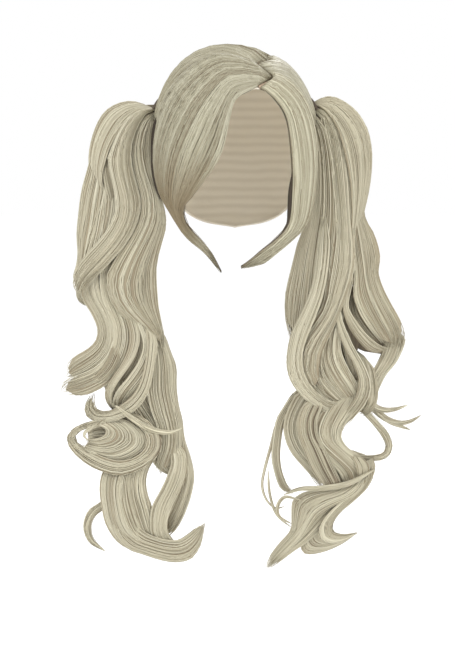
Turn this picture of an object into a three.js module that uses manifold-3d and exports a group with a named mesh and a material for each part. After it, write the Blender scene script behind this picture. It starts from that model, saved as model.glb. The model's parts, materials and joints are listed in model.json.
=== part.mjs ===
// A wig with two gathered pigtails, worn: cap, parting, combed hair, fringe, side lock, hair ties and tails.
// Millimetres, +Z up, the face looks along -Y. Right and left are the wearer's, so right is at -X.
// The origin is where the top of the head touches the inside of the cap.

import * as THREE from "three";
import { mergeVertices } from "three/addons/utils/BufferGeometryUtils.js";
import Module from "manifold-3d";

// Head form that the cap is made for: 540 mm round the brow
const headWidth = 148;
const headLength = 190;
const crownHeight = 105; // from the widest level up to the top of the head
const drapeReach = 220; // how far below that level the loose hair goes on following the head
const headShift = 2; // the form's middle lies this far behind the origin
const formPower = 2.4; // 2 is an ellipsoid, more is squarer

// Walls and clearances
const capThickness = 1.5;
const seatGap = 0.6; // between the hair tie and the bundle that it holds
const cutGap = 0.3; // left round a piece where another is cut clear of it
const partingThickness = 0.8;

// Gathered tails
const tieAzimuth = 94;
const tieElevation = 30;
const tieStandOff = 13; // from the head form to the middle of the hair tie
const rootRadius = 10; // hair bundle inside the tie
const tieThickness = 5;
const strandFan = { parting: 90, tie: 14 }; // degrees that the strands of a combed sheet are spread over
const tailLength = 475; // drop from the tie to the lowest tip
const tailWidth = 100; // nominal, which the section tables are shares of
const tailDepthShare = 0.78; // depth of a tail against its width
const tailForward = 16; // how far the tip hangs in front of the tie
const locksPerTail = 8;
const lockSwing = 14; // degrees that a lock sways round the tail
const lockWaves = 2.3; // waves from root to tip
const lockTwist = 70; // degrees that all locks turn from root to tip
const lockEnds = [0.9, 1, 0.86, 0.95]; // shares of the tail's length at which its locks end, in turn
const lockFade = 0.08; // share of the tail's length before its end over which a lock sinks to the groove
const flanks = [0.27, 0.73]; // where the sides of two locks lie between their ridges, the groove halfway
const flankShare = 0.95; // sides of a lock, and the groove between two, against the tail's outline
const grooveShare = { root: 0.9, loose: 0.72 };
const looseFrom = 0.25; // share of the tail's length past which its locks hang quite loose
const depthFrom = 0.125; // share of the tail's length past which it has its full flatness
const roundedFrom = 0.9; // share of the tail's length past which it rounds off
const tipThinness = 0.6; // depth of a loose tip against its width

const hairColour = new THREE.Color(0.56, 0.52, 0.41);
const capColour = new THREE.Color(0.42, 0.37, 0.28);
const skinColour = new THREE.Color(0.78, 0.6, 0.48);
const tieColour = new THREE.Color(0.2, 0.15, 0.11);

// Lower edge of the cap: elevation in degrees at each azimuth from the middle of the face, the same on both sides
const capRim = [
  { at: 0, elevation: 36 }, // hairline
  { at: 20, elevation: 35 },
  { at: 38, elevation: 20 }, // temple
  { at: 52, elevation: 6 },
  { at: 64, elevation: -2 }, // ear tab
  { at: 78, elevation: 5 },
  { at: 92, elevation: 7 }, // over the ear
  { at: 112, elevation: -14 },
  { at: 138, elevation: -38 },
  { at: 180, elevation: -47 }, // nape
];

// The parting from the hairline over the crown: the zigzag that the hair is drawn away from on both sides
const parting = [
  { at: 0, azimuth: 17, elevation: 37.5, halfWidth: 2 },
  { at: 0.24, azimuth: 31, elevation: 43, halfWidth: 1.5 },
  { at: 0.5, azimuth: 22, elevation: 52, halfWidth: 1.4 },
  { at: 0.7, azimuth: 34, elevation: 59, halfWidth: 1.2 },
  { at: 0.84, azimuth: 52, elevation: 66, halfWidth: 1 },
  { at: 1, azimuth: 118, elevation: 70, halfWidth: 0.9 },
];
const stripEnd = 0.8; // share of the parting over which its skin-coloured strip shows
const nape = { azimuth: 180, elevation: -45 }; // where the parting ends at the back

// Seams that the combed sheets lie between, from the parting to the tie, as directions on the right side
// and on the left one. All is drawn from the parting to the ties.
const seams = {
  right: {
    hairline: [
      { at: 0.3, azimuth: -12, elevation: 40 },
      { at: 0.6, azimuth: -42, elevation: 28 },
      { at: 0.85, azimuth: -68, elevation: 14 },
      { at: 1, azimuth: -86, elevation: 23 },
    ],
    top: [
      { at: 0.3, azimuth: -161, elevation: 76 },
      { at: 0.6, azimuth: -113, elevation: 60 },
      { at: 0.85, azimuth: -102, elevation: 43 },
      { at: 1, azimuth: -98, elevation: 35 },
    ],
    nape: [
      { at: 0.3, azimuth: -158, elevation: -43 },
      { at: 0.6, azimuth: -134, elevation: -33 },
      { at: 0.85, azimuth: -110, elevation: -4 },
      { at: 1, azimuth: -100, elevation: 22 },
    ],
  },
  left: {
    hairline: [
      { at: 0.3, azimuth: 34, elevation: 29 },
      { at: 0.6, azimuth: 52, elevation: 16 },
      { at: 0.85, azimuth: 71, elevation: 13 },
      { at: 1, azimuth: 86, elevation: 23 },
    ],
    top: [
      { at: 0.3, azimuth: 113, elevation: 62 },
      { at: 0.6, azimuth: 107, elevation: 53 },
      { at: 0.85, azimuth: 101, elevation: 42 },
      { at: 1, azimuth: 98, elevation: 35 },
    ],
    nape: [
      { at: 0.3, azimuth: 158, elevation: -43 },
      { at: 0.6, azimuth: 134, elevation: -33 },
      { at: 0.85, azimuth: 110, elevation: -4 },
      { at: 1, azimuth: 100, elevation: 22 },
    ],
  },
};
const combedThickness = [
  { at: 0, thick: 3 },
  { at: 0.3, thick: 5.4 },
  { at: 0.6, thick: 8 },
  { at: 0.85, thick: 10 },
  { at: 1, thick: 11 },
];

// Hair that hangs loose in front, station by station from the parting to its end: the direction of its edge
// towards the face and of its other edge, how far it stands off the head form, and how thick it is
const looseHair = {
  fringe: {
    ribs: 6,
    rows: [
      { at: 0, nearAz: 15, nearEl: 36.5, farAz: 19, farEl: 50, stand: 3, thick: 5 },
      { at: 0.08, nearAz: 9, nearEl: 34, farAz: 2, farEl: 58, stand: 5, thick: 6 },
      { at: 0.18, nearAz: 0, nearEl: 29, farAz: -22, farEl: 57, stand: 7, thick: 6 },
      { at: 0.3, nearAz: -4, nearEl: 16, farAz: -45, farEl: 40, stand: 8.5, thick: 6 },
      { at: 0.42, nearAz: -7, nearEl: 3, farAz: -60, farEl: 20, stand: 9, thick: 5.4 },
      { at: 0.55, nearAz: -13, nearEl: -9, farAz: -71, farEl: -5, stand: 8, thick: 6 },
      { at: 0.66, nearAz: -25, nearEl: -23, farAz: -65, farEl: -22, stand: 4, thick: 7 },
      { at: 0.75, nearAz: -34, nearEl: -33, farAz: -47, farEl: -34, stand: 0, thick: 7 },
      { at: 0.83, nearAz: -28, nearEl: -43, farAz: -34, farEl: -44, stand: -5, thick: 6 },
      { at: 0.92, nearAz: -14, nearEl: -53, farAz: -18, farEl: -54, stand: -13, thick: 4 },
      { at: 1, nearAz: 3, nearEl: -59, farAz: 2, farEl: -60, stand: -19, thick: 2 },
    ],
  },
  side_lock: {
    ribs: 4,
    rows: [
      { at: 0, nearAz: 19, nearEl: 37, farAz: 27, farEl: 49, stand: 3, thick: 5 },
      { at: 0.1, nearAz: 25, nearEl: 30, farAz: 38, farEl: 45, stand: 5, thick: 6 },
      { at: 0.22, nearAz: 30, nearEl: 20, farAz: 52, farEl: 33, stand: 7, thick: 6 },
      { at: 0.36, nearAz: 32, nearEl: 6, farAz: 64, farEl: 14, stand: 8.5, thick: 5.4 },
      { at: 0.5, nearAz: 34, nearEl: -10, farAz: 71, farEl: -8, stand: 8, thick: 5.4 },
      { at: 0.64, nearAz: 36, nearEl: -25, farAz: 71, farEl: -26, stand: 5, thick: 6 },
      { at: 0.76, nearAz: 34, nearEl: -39, farAz: 62, farEl: -39, stand: -1, thick: 7 },
      { at: 0.84, nearAz: 30, nearEl: -46, farAz: 49, farEl: -48, stand: -6, thick: 7 },
      { at: 0.9, nearAz: 24, nearEl: -52, farAz: 31, farEl: -54, stand: -11, thick: 5 },
      { at: 1, nearAz: 5, nearEl: -60, farAz: 7, farEl: -61, stand: -18, thick: 2 },
    ],
  },
};

// Outline of each tail from its tie down: drop is a share of tailLength, out (away from the head) and half
// (half the width) are shares of tailWidth. tips are locks that leave the outline, each a cubic curve of
// [out, drop] points with its half width and its depth in front of the tail's middle.
const tails = {
  right: {
    side: -1,
    phase: 20,
    sections: [
      { drop: 0, out: 0, half: 0.1 },
      { drop: 0.005, out: 0.14, half: 0.13 },
      { drop: 0.033, out: 0.27, half: 0.24 },
      { drop: 0.07, out: 0.34, half: 0.29 },
      { drop: 0.18, out: 0.39, half: 0.37 },
      { drop: 0.265, out: 0.33, half: 0.48 },
      { drop: 0.415, out: 0.42, half: 0.46 },
      { drop: 0.485, out: 0.32, half: 0.39 },
      { drop: 0.54, out: 0.24, half: 0.41 },
      { drop: 0.605, out: 0.26, half: 0.53 },
      { drop: 0.67, out: 0.17, half: 0.46 },
      { drop: 0.735, out: 0.28, half: 0.6 },
      { drop: 0.8, out: 0.12, half: 0.51 },
      { drop: 0.88, out: 0.07, half: 0.46 },
      { drop: 0.94, out: 0.04, half: 0.38 },
      { drop: 0.98, out: 0, half: 0.2 },
    ],
    tips: [
      { half: 0.11, depth: -0.3, points: [[0.3, 0.48], [0.5, 0.55], [0.82, 0.58], [0.98, 0.63]] },
      { half: 0.09, depth: -0.22, points: [[0.35, 0.55], [0.55, 0.62], [0.8, 0.66], [0.96, 0.6]] },
      { half: 0.05, depth: 0.1, points: [[0.45, 0.64], [0.9, 0.66], [0.9, 0.75], [0.3, 0.74]] },
      { half: 0.05, depth: 0.05, points: [[0.4, 0.86], [0.85, 0.92], [0.62, 0.96], [0.48, 0.99]] },
      { half: 0.09, depth: -0.2, points: [[0.3, 0.9], [0.05, 1.01], [-0.4, 1.02], [-0.47, 0.92]] },
    ],
  },
  left: {
    side: 1,
    phase: 75,
    sections: [
      { drop: 0, out: 0, half: 0.1 },
      { drop: 0.005, out: 0.14, half: 0.125 },
      { drop: 0.033, out: 0.25, half: 0.21 },
      { drop: 0.07, out: 0.3, half: 0.25 },
      { drop: 0.18, out: 0.32, half: 0.28 },
      { drop: 0.235, out: 0.23, half: 0.29 },
      { drop: 0.29, out: 0.25, half: 0.37 },
      { drop: 0.41, out: 0.27, half: 0.52 },
      { drop: 0.48, out: 0.36, half: 0.6 },
      { drop: 0.54, out: 0.36, half: 0.56 },
      { drop: 0.61, out: 0.24, half: 0.48 },
      { drop: 0.69, out: 0.12, half: 0.42 },
      { drop: 0.77, out: 0.2, half: 0.46 },
      { drop: 0.83, out: 0.16, half: 0.41 },
      { drop: 0.89, out: 0.1, half: 0.31 },
      { drop: 0.93, out: 0, half: 0.27 },
      { drop: 0.97, out: -0.14, half: 0.18 },
    ],
    tips: [
      { half: 0.05, depth: -0.2, points: [[0.6, 0.58], [0.68, 0.66], [0.85, 0.66], [1.02, 0.625]] },
      { half: 0.05, depth: -0.1, points: [[0.62, 0.6], [0.7, 0.7], [0.98, 0.72], [1.1, 0.655]] },
      { half: 0.05, depth: 0.1, points: [[0.5, 0.62], [1, 0.7], [1, 0.78], [0.3, 0.745]] },
      { half: 0.04, depth: 0.05, points: [[-0.2, 0.72], [-0.6, 0.8], [-0.5, 0.86], [-0.15, 0.89]] },
      { half: 0.08, depth: -0.15, points: [[0.05, 0.86], [0.05, 0.95], [0.2, 1], [0.5, 0.935]] },
      { half: 0.09, depth: -0.2, points: [[0.1, 0.84], [-0.05, 0.92], [-0.42, 0.94], [-0.46, 1]] },
    ],
  },
};

// Steps that the surfaces are cut into
const capTurns = 28;
const capSteps = 5;
const combedSteps = 6;
const combedRibs = 4;
const looseSteps = 12;
const stripSteps = 8;
const tailRings = 26;
const rootSides = 12;
const tieSides = 8;
const tieTurns = 16;
const tipRings = 6;
const tipSides = 5;

const wasm = await Module();
wasm.setup();

const degrees = THREE.MathUtils.degToRad;
const formCentre = new THREE.Vector3(0, headShift, -crownHeight);

// Value of one column of a table at a place between its rows, on a smooth curve through them.
function column(rows, key, at, place = "at") {
  const last = rows.length - 1;
  let i = 0;
  while (i < last - 1 && rows[i + 1][place] < at) i += 1;
  const slope = (k) => {
    const a = rows[Math.max(k - 1, 0)];
    const b = rows[Math.min(k + 1, last)];
    return (b[key] - a[key]) / (b[place] - a[place]);
  };
  const span = rows[i + 1][place] - rows[i][place];
  const u = THREE.MathUtils.clamp((at - rows[i][place]) / span, 0, 1);
  const u2 = u * u;
  const u3 = u2 * u;
  return (
    (2 * u3 - 3 * u2 + 1) * rows[i][key] +
    (u3 - 2 * u2 + u) * span * slope(i) +
    (3 * u2 - 2 * u3) * rows[i + 1][key] +
    (u3 - u2) * span * slope(i + 1)
  );
}

// Unit vector from the form's centre, azimuth 0 to the front and 90 to +X
function direction(azimuth, elevation) {
  const [a, e] = [degrees(azimuth), degrees(elevation)];
  return new THREE.Vector3(Math.cos(e) * Math.sin(a), -Math.cos(e) * Math.cos(a), Math.sin(e));
}

// Point in a direction on the head form grown by an offset
function onForm(way, offset, lowerReach = crownHeight) {
  const height = (way.z < 0 ? lowerReach : crownHeight) + offset;
  const sum =
    Math.abs(way.x / (headWidth / 2 + offset)) ** formPower +
    Math.abs(way.y / (headLength / 2 + offset)) ** formPower +
    Math.abs(way.z / height) ** formPower;
  return way.clone().multiplyScalar(sum ** (-1 / formPower)).add(formCentre);
}

// Direction a share of the way from one direction to another, along the great circle
function between(from, to, share) {
  const angle = from.angleTo(to);
  if (angle < 1e-6) return from.clone();
  return from
    .clone()
    .multiplyScalar(Math.sin((1 - share) * angle) / Math.sin(angle))
    .addScaledVector(to, Math.sin(share * angle) / Math.sin(angle));
}

// Closed solid from its points and triangles, turned the right way out
function solid(points, faces) {
  const build = (turned) =>
    new wasm.Manifold(
      new wasm.Mesh({
        numProp: 3,
        vertProperties: new Float32Array(points.flatMap((p) => p.toArray())),
        triVerts: new Uint32Array(faces.flatMap(([a, b, c]) => (turned ? [a, c, b] : [a, b, c]))),
      }),
    );
  const made = build(false);
  return made.volume() < 0 ? build(true) : made;
}

// Solid through a row of rings with equally many points, each end closed at its middle
function loft(rings) {
  const sides = rings[0].length;
  const points = rings.flat();
  const faces = [];
  for (let i = 0; i < rings.length - 1; i += 1) {
    for (let j = 0; j < sides; j += 1) {
      const [a, b] = [i * sides + j, i * sides + ((j + 1) % sides)];
      faces.push([a, b, b + sides], [a, b + sides, a + sides]);
    }
  }
  const close = (ring, start, flip) => {
    const middle = ring.reduce((sum, p) => sum.add(p), new THREE.Vector3()).divideScalar(sides);
    points.push(middle);
    for (let j = 0; j < sides; j += 1) {
      const [a, b] = [start + j, start + ((j + 1) % sides)];
      faces.push(flip ? [b, a, points.length - 1] : [a, b, points.length - 1]);
    }
  };
  close(rings[0], 0, true);
  close(rings.at(-1), (rings.length - 1) * sides, false);
  return solid(points, faces);
}

// Solid between two grids of points, [along][across], closed round their edges
function slab(outer, inner) {
  const rings = outer.map((row, i) => [...row, ...inner[i].toReversed()]);
  const sides = rings[0].length;
  const across = outer[0].length;
  const faces = [];
  rings.slice(0, -1).forEach((_, i) => {
    for (let j = 0; j < sides; j += 1) {
      const [a, b] = [i * sides + j, i * sides + ((j + 1) % sides)];
      faces.push([a, b, b + sides], [a, b + sides, a + sides]);
    }
  });
  const end = (start, flip) => {
    for (let j = 0; j < across - 1; j += 1) {
      const [a, b] = [start + j, start + j + 1];
      const [c, d] = [start + sides - 1 - j, start + sides - 2 - j];
      faces.push(flip ? [a, d, b] : [a, b, d], flip ? [a, c, d] : [a, d, c]);
    }
  };
  end(0, true);
  end((rings.length - 1) * sides, false);
  return solid(rings.flat(), faces);
}

// The largest body that is left of a solid once others are cut away
function clearOf(made, ...others) {
  const left = others.reduce((rest, other) => rest.subtract(other), made);
  const bodies = left.decompose();
  return bodies.reduce((best, body) => (body.volume() > best.volume() ? body : best), bodies[0]);
}

const range = (count) => Array.from({ length: count }, (_, i) => i);

// Ring of the cap's surface, step 0 near its top and the last one at the rim
function capRing(step, offset) {
  const topElevation = 86;
  return range(capTurns).map((turn) => {
    const azimuth = (360 * turn) / capTurns;
    const rim = column(capRim, "elevation", Math.min(azimuth, 360 - azimuth));
    return onForm(direction(azimuth, topElevation + ((rim - topElevation) * step) / capSteps), offset);
  });
}

// Net cap: a thin dome down to the rim
function capSolid() {
  const steps = range(capSteps + 1);
  return loft([
    ...steps.map((step) => capRing(step, capThickness)),
    ...steps.toReversed().map((step) => capRing(step, 0)),
  ]);
}

// All that the cap covers, filled, to cut what lies on the cap
function coveredSolid(grow) {
  return loft(range(capSteps + 1).map((step) => capRing(step, capThickness + grow)));
}

// Point of the cap's inside under the parting: place 0 at the hairline, 1 over the crown, 2 at the nape
function partingPoint(place) {
  const at = Math.min(place, 1);
  const front = direction(column(parting, "azimuth", at), column(parting, "elevation", at));
  return onForm(between(front, direction(nape.azimuth, nape.elevation), Math.max(place - 1, 0)), 0);
}

// Way out at the parting's right edge, side -1, or its left one, side 1, set in towards its middle
function partingWay(place, side, inset = 0) {
  const point = partingPoint(place);
  const way = point.clone().sub(formCentre).normalize();
  const stretch = 0.03; // of the parting, on each side, that gives its direction
  const along = partingPoint(place + stretch).sub(partingPoint(Math.max(place - stretch, 0)));
  const reach = side * (column(parting, "halfWidth", Math.min(place, 1)) - inset);
  return point.addScaledVector(along.cross(way).normalize(), reach).sub(formCentre).normalize();
}

// Sheet of hair on the head form, ribbed along its strands and thin at its edges
function sheetSolid({ wayAt, standAt, thickAt, ribs, steps }, grow = 0) {
  const edgeShare = 0.4;
  const ribHeight = 0.13;
  const across = 2 * ribs;
  const grid = (face) =>
    range(steps + 1).map((i) => {
      const at = i / steps;
      return range(across + 1).map((j) => {
        const share = j / across;
        const round = edgeShare + (1 - edgeShare) * Math.sin(Math.PI * share) ** 0.5;
        const rib = j % 2 ? ribHeight : -ribHeight;
        const outer = standAt(at) + thickAt(at) * (round + rib) + grow;
        return onForm(wayAt(at, share), face === "outer" ? outer : standAt(at) - grow, drapeReach);
      });
    });
  return slab(grid("outer"), grid("inner"));
}

// Sheet combed from the parting to a tie between two seams. It reaches into the cap, and is cut clear of it.
function combedSheet(side, near, far, place) {
  const wayAt = (at, share) => {
    const fan = degrees(THREE.MathUtils.lerp(strandFan.parting, strandFan.tie, at));
    const inset = cutGap / headLength / fan;
    const within = THREE.MathUtils.lerp(inset, 1 - inset, share);
    const rows = [
      { at: 0, ...partingWay(place + within, side) },
      ...near.map((row, i) => ({
        at: row.at,
        ...between(
          direction(row.azimuth, row.elevation),
          direction(far[i].azimuth, far[i].elevation),
          within,
        ),
      })),
    ];
    return new THREE.Vector3(...["x", "y", "z"].map((key) => column(rows, key, at))).normalize();
  };
  const thickAt = (at) => capThickness + column(combedThickness, "thick", at);
  return { wayAt, standAt: () => 0, thickAt, ribs: combedRibs, steps: combedSteps };
}

// Sheet between the two edges in a table
function looseSheet({ ribs, rows }) {
  const wayAt = (at, share) =>
    between(
      direction(column(rows, "nearAz", at), column(rows, "nearEl", at)),
      direction(column(rows, "farAz", at), column(rows, "farEl", at)),
      share,
    );
  const standAt = (at) => column(rows, "stand", at);
  const thickAt = (at) => column(rows, "thick", at);
  return { wayAt, standAt, thickAt, ribs, steps: looseSteps };
}

// Strip that shows in the parting, between the hair on its two sides
function partingStrip(grow = 0) {
  const top = capThickness + cutGap + partingThickness;
  const grid = (offset) =>
    range(stripSteps + 1).map((i) =>
      [-1, 1].map((side) => onForm(partingWay((stripEnd * i) / stripSteps, side, 2 * cutGap - grow), offset)),
    );
  return slab(grid(top + grow), grid(-grow));
}

// Where a tail leaves the head: the middle of its tie, and the way out
function rootOf(side) {
  const way = direction(side * tieAzimuth, tieElevation);
  const middle = onForm(way, tieStandOff);
  const out = middle.clone().sub(onForm(way, 0)).normalize();
  return { middle, out, foot: onForm(way, capThickness) };
}

// Straight bundle of hair from the cap out through the tie
function rootSolid(side, grow = 0) {
  const { middle, out, foot } = rootOf(side);
  const sideways = new THREE.Vector3(0, 1, 0);
  const upward = sideways.clone().cross(out).normalize();
  const length = middle.distanceTo(foot) + tieThickness;
  return loft(
    [-grow, length].map((reach) =>
      range(rootSides).map((j) => {
        const turn = (2 * Math.PI * j) / rootSides;
        return foot
          .clone()
          .addScaledVector(out, reach)
          .addScaledVector(upward, (rootRadius + grow) * Math.cos(turn))
          .addScaledVector(sideways, (rootRadius + grow) * Math.sin(turn));
      }),
    ),
  );
}

// Elastic hair tie round the bundle
function tieSolid(side, grow = 0) {
  const { middle, out } = rootOf(side);
  const tube = tieThickness / 2;
  const ring = new THREE.TorusGeometry(rootRadius + seatGap + tube, tube + grow, tieSides, tieTurns);
  ring.deleteAttribute("normal");
  ring.deleteAttribute("uv");
  ring.applyQuaternion(new THREE.Quaternion().setFromUnitVectors(new THREE.Vector3(0, 0, 1), out));
  ring.translate(...middle.toArray());
  const merged = mergeVertices(ring, 1e-3);
  return new wasm.Manifold(
    new wasm.Mesh({
      numProp: 3,
      vertProperties: merged.attributes.position.array,
      triVerts: new Uint32Array(merged.index.array),
    }),
  );
}

// Middle line and half widths of a tail, with each section's place along it
function tailFrame({ side, sections }) {
  const { middle } = rootOf(side);
  let along = 0;
  const rows = sections.map((row, i) => {
    const before = sections[Math.max(i - 1, 0)];
    along += Math.hypot((row.out - before.out) * tailWidth, (row.drop - before.drop) * tailLength);
    return { along, out: row.out * tailWidth, drop: row.drop * tailLength, half: row.half * tailWidth };
  });
  rows[0].half = rootRadius;
  rows.forEach((row) => (row.at = row.along / along));
  const point = (at) =>
    new THREE.Vector3(
      middle.x + side * column(rows, "out", at),
      middle.y - tailForward * at,
      middle.z - column(rows, "drop", at),
    );
  return (at) => {
    const here = point(at);
    const step = THREE.MathUtils.lerp(0.01, 0.07, at); // a longer stretch further down smooths the bends
    const tangent = point(Math.min(at + step, 1)).sub(point(Math.max(at - step, 0))).normalize();
    const back = new THREE.Vector3(0, 1, 0).addScaledVector(tangent, -tangent.y).normalize();
    const outward = back.clone().cross(tangent).multiplyScalar(-side);
    const half = column(rows, "half", at);
    const depth = half * THREE.MathUtils.lerp(1, tailDepthShare, Math.min(at / depthFrom, 1));
    return { here, back, outward, half, depth };
  };
}

// Point of a tail's cross-section at an angle and a share of the way to its edge
function tailPoint(frame, angle, share) {
  return frame.here
    .clone()
    .addScaledVector(frame.outward, frame.half * share * Math.cos(degrees(angle)))
    .addScaledVector(frame.back, frame.depth * share * Math.sin(degrees(angle)));
}

// Flat oval section round a point
function oval(middle, wide, thin, sides) {
  return range(sides).map((j) => {
    const turn = (2 * Math.PI * j) / sides;
    return middle.clone().addScaledVector(wide, Math.cos(turn)).addScaledVector(thin, Math.sin(turn));
  });
}

// Cross-section of a tail: each lock is a ridge that sways round it and fades past the lock's end
function tailSection(frameAt, at, phase) {
  const frame = frameAt(at);
  const loose = Math.min(at / looseFrom, 1);
  const groove = THREE.MathUtils.lerp(grooveShare.root, grooveShare.loose, loose);
  const past = Math.max(at - roundedFrom, 0) / (1 - roundedFrom);
  const close = Math.max(Math.sqrt(1 - past ** 2), 0.2);
  const ridges = range(locksPerTail + 1).map((number) => {
    const start = (360 * number) / locksPerTail + phase;
    const sway = lockSwing * loose * Math.sin(degrees(360 * lockWaves * at + start * 3));
    const beyond = THREE.MathUtils.smoothstep(at, lockEnds[number % lockEnds.length] - lockFade, 1);
    return { angle: start + sway + lockTwist * at, share: THREE.MathUtils.lerp(1, groove, beyond) };
  });
  return range(locksPerTail).flatMap((number) => {
    const { angle, share } = ridges[number];
    const gap = ridges[number + 1].angle - angle;
    return [
      { angle, share },
      { angle: angle + flanks[0] * gap, share: share * flankShare },
      { angle: angle + gap / 2, share: groove },
      { angle: angle + flanks[1] * gap, share: ridges[number + 1].share * flankShare },
    ].map((place) => tailPoint(frame, place.angle, place.share * close));
  });
}

// Lock that leaves the outline of a tail and ends in a thin tip
function tipSolid(tail, { half, depth, points }) {
  const { middle } = rootOf(tail.side);
  const [a, b, c, d] = points.map(
    ([out, drop]) =>
      new THREE.Vector3(
        middle.x + tail.side * out * tailWidth,
        middle.y - tailForward * drop + depth * tailWidth,
        middle.z - drop * tailLength,
      ),
  );
  const curve = new THREE.CubicBezierCurve3(a, b, c, d);
  // Three quarters of its full width where it leaves the tail, full a third of the way, and thin at its end
  const swell = (at) => Math.max(Math.sin(Math.PI * (0.25 + 0.75 * at)) ** 0.7, 0.08);
  return loft(
    range(tipRings + 1).map((i) => {
      const at = i / tipRings;
      const run = curve.getTangent(at);
      const thin = new THREE.Vector3(0, 1, 0).addScaledVector(run, -run.y).normalize();
      const wide = thin.clone().cross(run);
      const reach = half * tailWidth * swell(at);
      wide.multiplyScalar(reach);
      thin.multiplyScalar(reach * tipThinness);
      return oval(curve.getPoint(at), wide, thin, tipSides);
    }),
  );
}

// A whole tail: its locks and its loose tips, joined into one solid with the bundle in the tie
function tailSolid(tail) {
  const frameAt = tailFrame(tail);
  const body = loft(range(tailRings + 1).map((i) => tailSection(frameAt, i / tailRings, tail.phase)));
  const tips = tail.tips.map((tip) => tipSolid(tail, tip));
  return [body, ...tips].reduce((all, one) => all.add(one), rootSolid(tail.side));
}

// Mesh of a finished solid
function piece(name, made, colour, roughness) {
  const { vertProperties, triVerts } = made.getMesh();
  const geometry = new THREE.BufferGeometry()
    .setAttribute("position", new THREE.BufferAttribute(new Float32Array(vertProperties), 3))
    .setIndex(new THREE.BufferAttribute(new Uint32Array(triVerts), 1));
  geometry.computeVertexNormals();
  const mesh = new THREE.Mesh(
    geometry,
    new THREE.MeshStandardMaterial({ color: colour, roughness, metalness: 0 }),
  );
  mesh.name = name;
  return mesh;
}

const hair = (name, made) => piece(name, made, hairColour, 0.5);
const wig = new THREE.Group();

const covered = coveredSolid(cutGap);
const roots = [-1, 1].flatMap((side) => [rootSolid(side, cutGap), tieSolid(side, cutGap)]);
const strip = partingStrip();

wig.add(piece("wig_cap", capSolid(), capColour, 0.9));
wig.add(piece("parting_strip", clearOf(strip, covered), skinColour, 0.6));

const { right, left } = seams;
const sheets = {
  crown_hair_right: combedSheet(-1, right.hairline, right.top, 0),
  crown_hair_left: combedSheet(1, left.hairline, left.top, 0),
  back_hair_right: combedSheet(-1, right.top, right.nape, 1),
  back_hair_left: combedSheet(1, left.top, left.nape, 1),
  fringe: looseSheet(looseHair.fringe),
  side_lock: looseSheet(looseHair.side_lock),
};

// Each sheet is cut clear of what lies under it, and later ones of it
const laid = [covered, partingStrip(cutGap), ...roots];
for (const [name, sheet] of Object.entries(sheets)) {
  wig.add(hair(name, clearOf(sheetSolid(sheet), ...laid)));
  laid.push(sheetSolid(sheet, cutGap));
}

for (const [name, tail] of Object.entries(tails)) {
  wig.add(piece(`hair_tie_${name}`, tieSolid(tail.side), tieColour, 0.8));
  const others = laid.filter((one) => !roots.includes(one));
  wig.add(hair(`pigtail_${name}`, clearOf(tailSolid(tail), tieSolid(tail.side, cutGap), ...others)));
}

export default wig;
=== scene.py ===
# %% [markdown]
# # A wig with two gathered pigtails
#
# The real thing is a net cap with thousands of long synthetic hairs sewn to it. The hair is parted in a
# zigzag, combed to the two sides, and gathered in two high tails whose loose ends are curled. Hair is far
# too fine to model one by one, so this lesson builds it in layers, from coarse to fine: sheets and inner
# locks for the big shapes, narrow locks for flicked ends, and single hairs over most of them.

# %% Load the frame
import json
import math

import bmesh
import bpy
import numpy as np
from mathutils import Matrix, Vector

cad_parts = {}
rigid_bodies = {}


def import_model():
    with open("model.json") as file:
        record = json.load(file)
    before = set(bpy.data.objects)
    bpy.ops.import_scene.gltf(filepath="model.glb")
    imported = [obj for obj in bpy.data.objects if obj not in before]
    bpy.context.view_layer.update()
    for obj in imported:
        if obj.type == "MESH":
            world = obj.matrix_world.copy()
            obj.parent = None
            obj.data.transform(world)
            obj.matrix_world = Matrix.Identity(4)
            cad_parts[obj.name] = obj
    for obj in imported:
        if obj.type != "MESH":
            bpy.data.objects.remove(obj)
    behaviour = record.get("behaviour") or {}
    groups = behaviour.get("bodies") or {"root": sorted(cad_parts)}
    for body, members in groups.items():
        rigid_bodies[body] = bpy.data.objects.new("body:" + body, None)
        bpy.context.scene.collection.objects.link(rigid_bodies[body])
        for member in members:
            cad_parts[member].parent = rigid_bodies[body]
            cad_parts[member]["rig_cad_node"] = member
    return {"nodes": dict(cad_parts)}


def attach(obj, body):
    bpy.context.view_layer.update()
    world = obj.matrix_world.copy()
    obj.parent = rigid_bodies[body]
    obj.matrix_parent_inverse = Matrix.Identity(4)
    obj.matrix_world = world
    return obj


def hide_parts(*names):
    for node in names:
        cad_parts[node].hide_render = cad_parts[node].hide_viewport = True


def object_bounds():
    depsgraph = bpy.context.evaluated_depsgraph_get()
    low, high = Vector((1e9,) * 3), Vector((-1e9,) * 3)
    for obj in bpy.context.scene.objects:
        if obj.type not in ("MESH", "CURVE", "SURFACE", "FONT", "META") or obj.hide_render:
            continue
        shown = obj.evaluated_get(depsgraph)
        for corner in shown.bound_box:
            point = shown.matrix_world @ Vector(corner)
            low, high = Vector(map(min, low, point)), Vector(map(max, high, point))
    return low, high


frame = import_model()
cad_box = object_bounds()
print("Nodes of the frame:", ", ".join(sorted(frame["nodes"])))

# %% [markdown]
# ## The camera
#
# The camera comes first, because the hair of the tails is drawn over the photograph. It stands about 1.9 m
# away and 5.5 degrees above the middle of the wig. A place in the photograph is then a ray from the camera,
# and the distance of the hair in front of the ties says where on that ray it lies.

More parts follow.
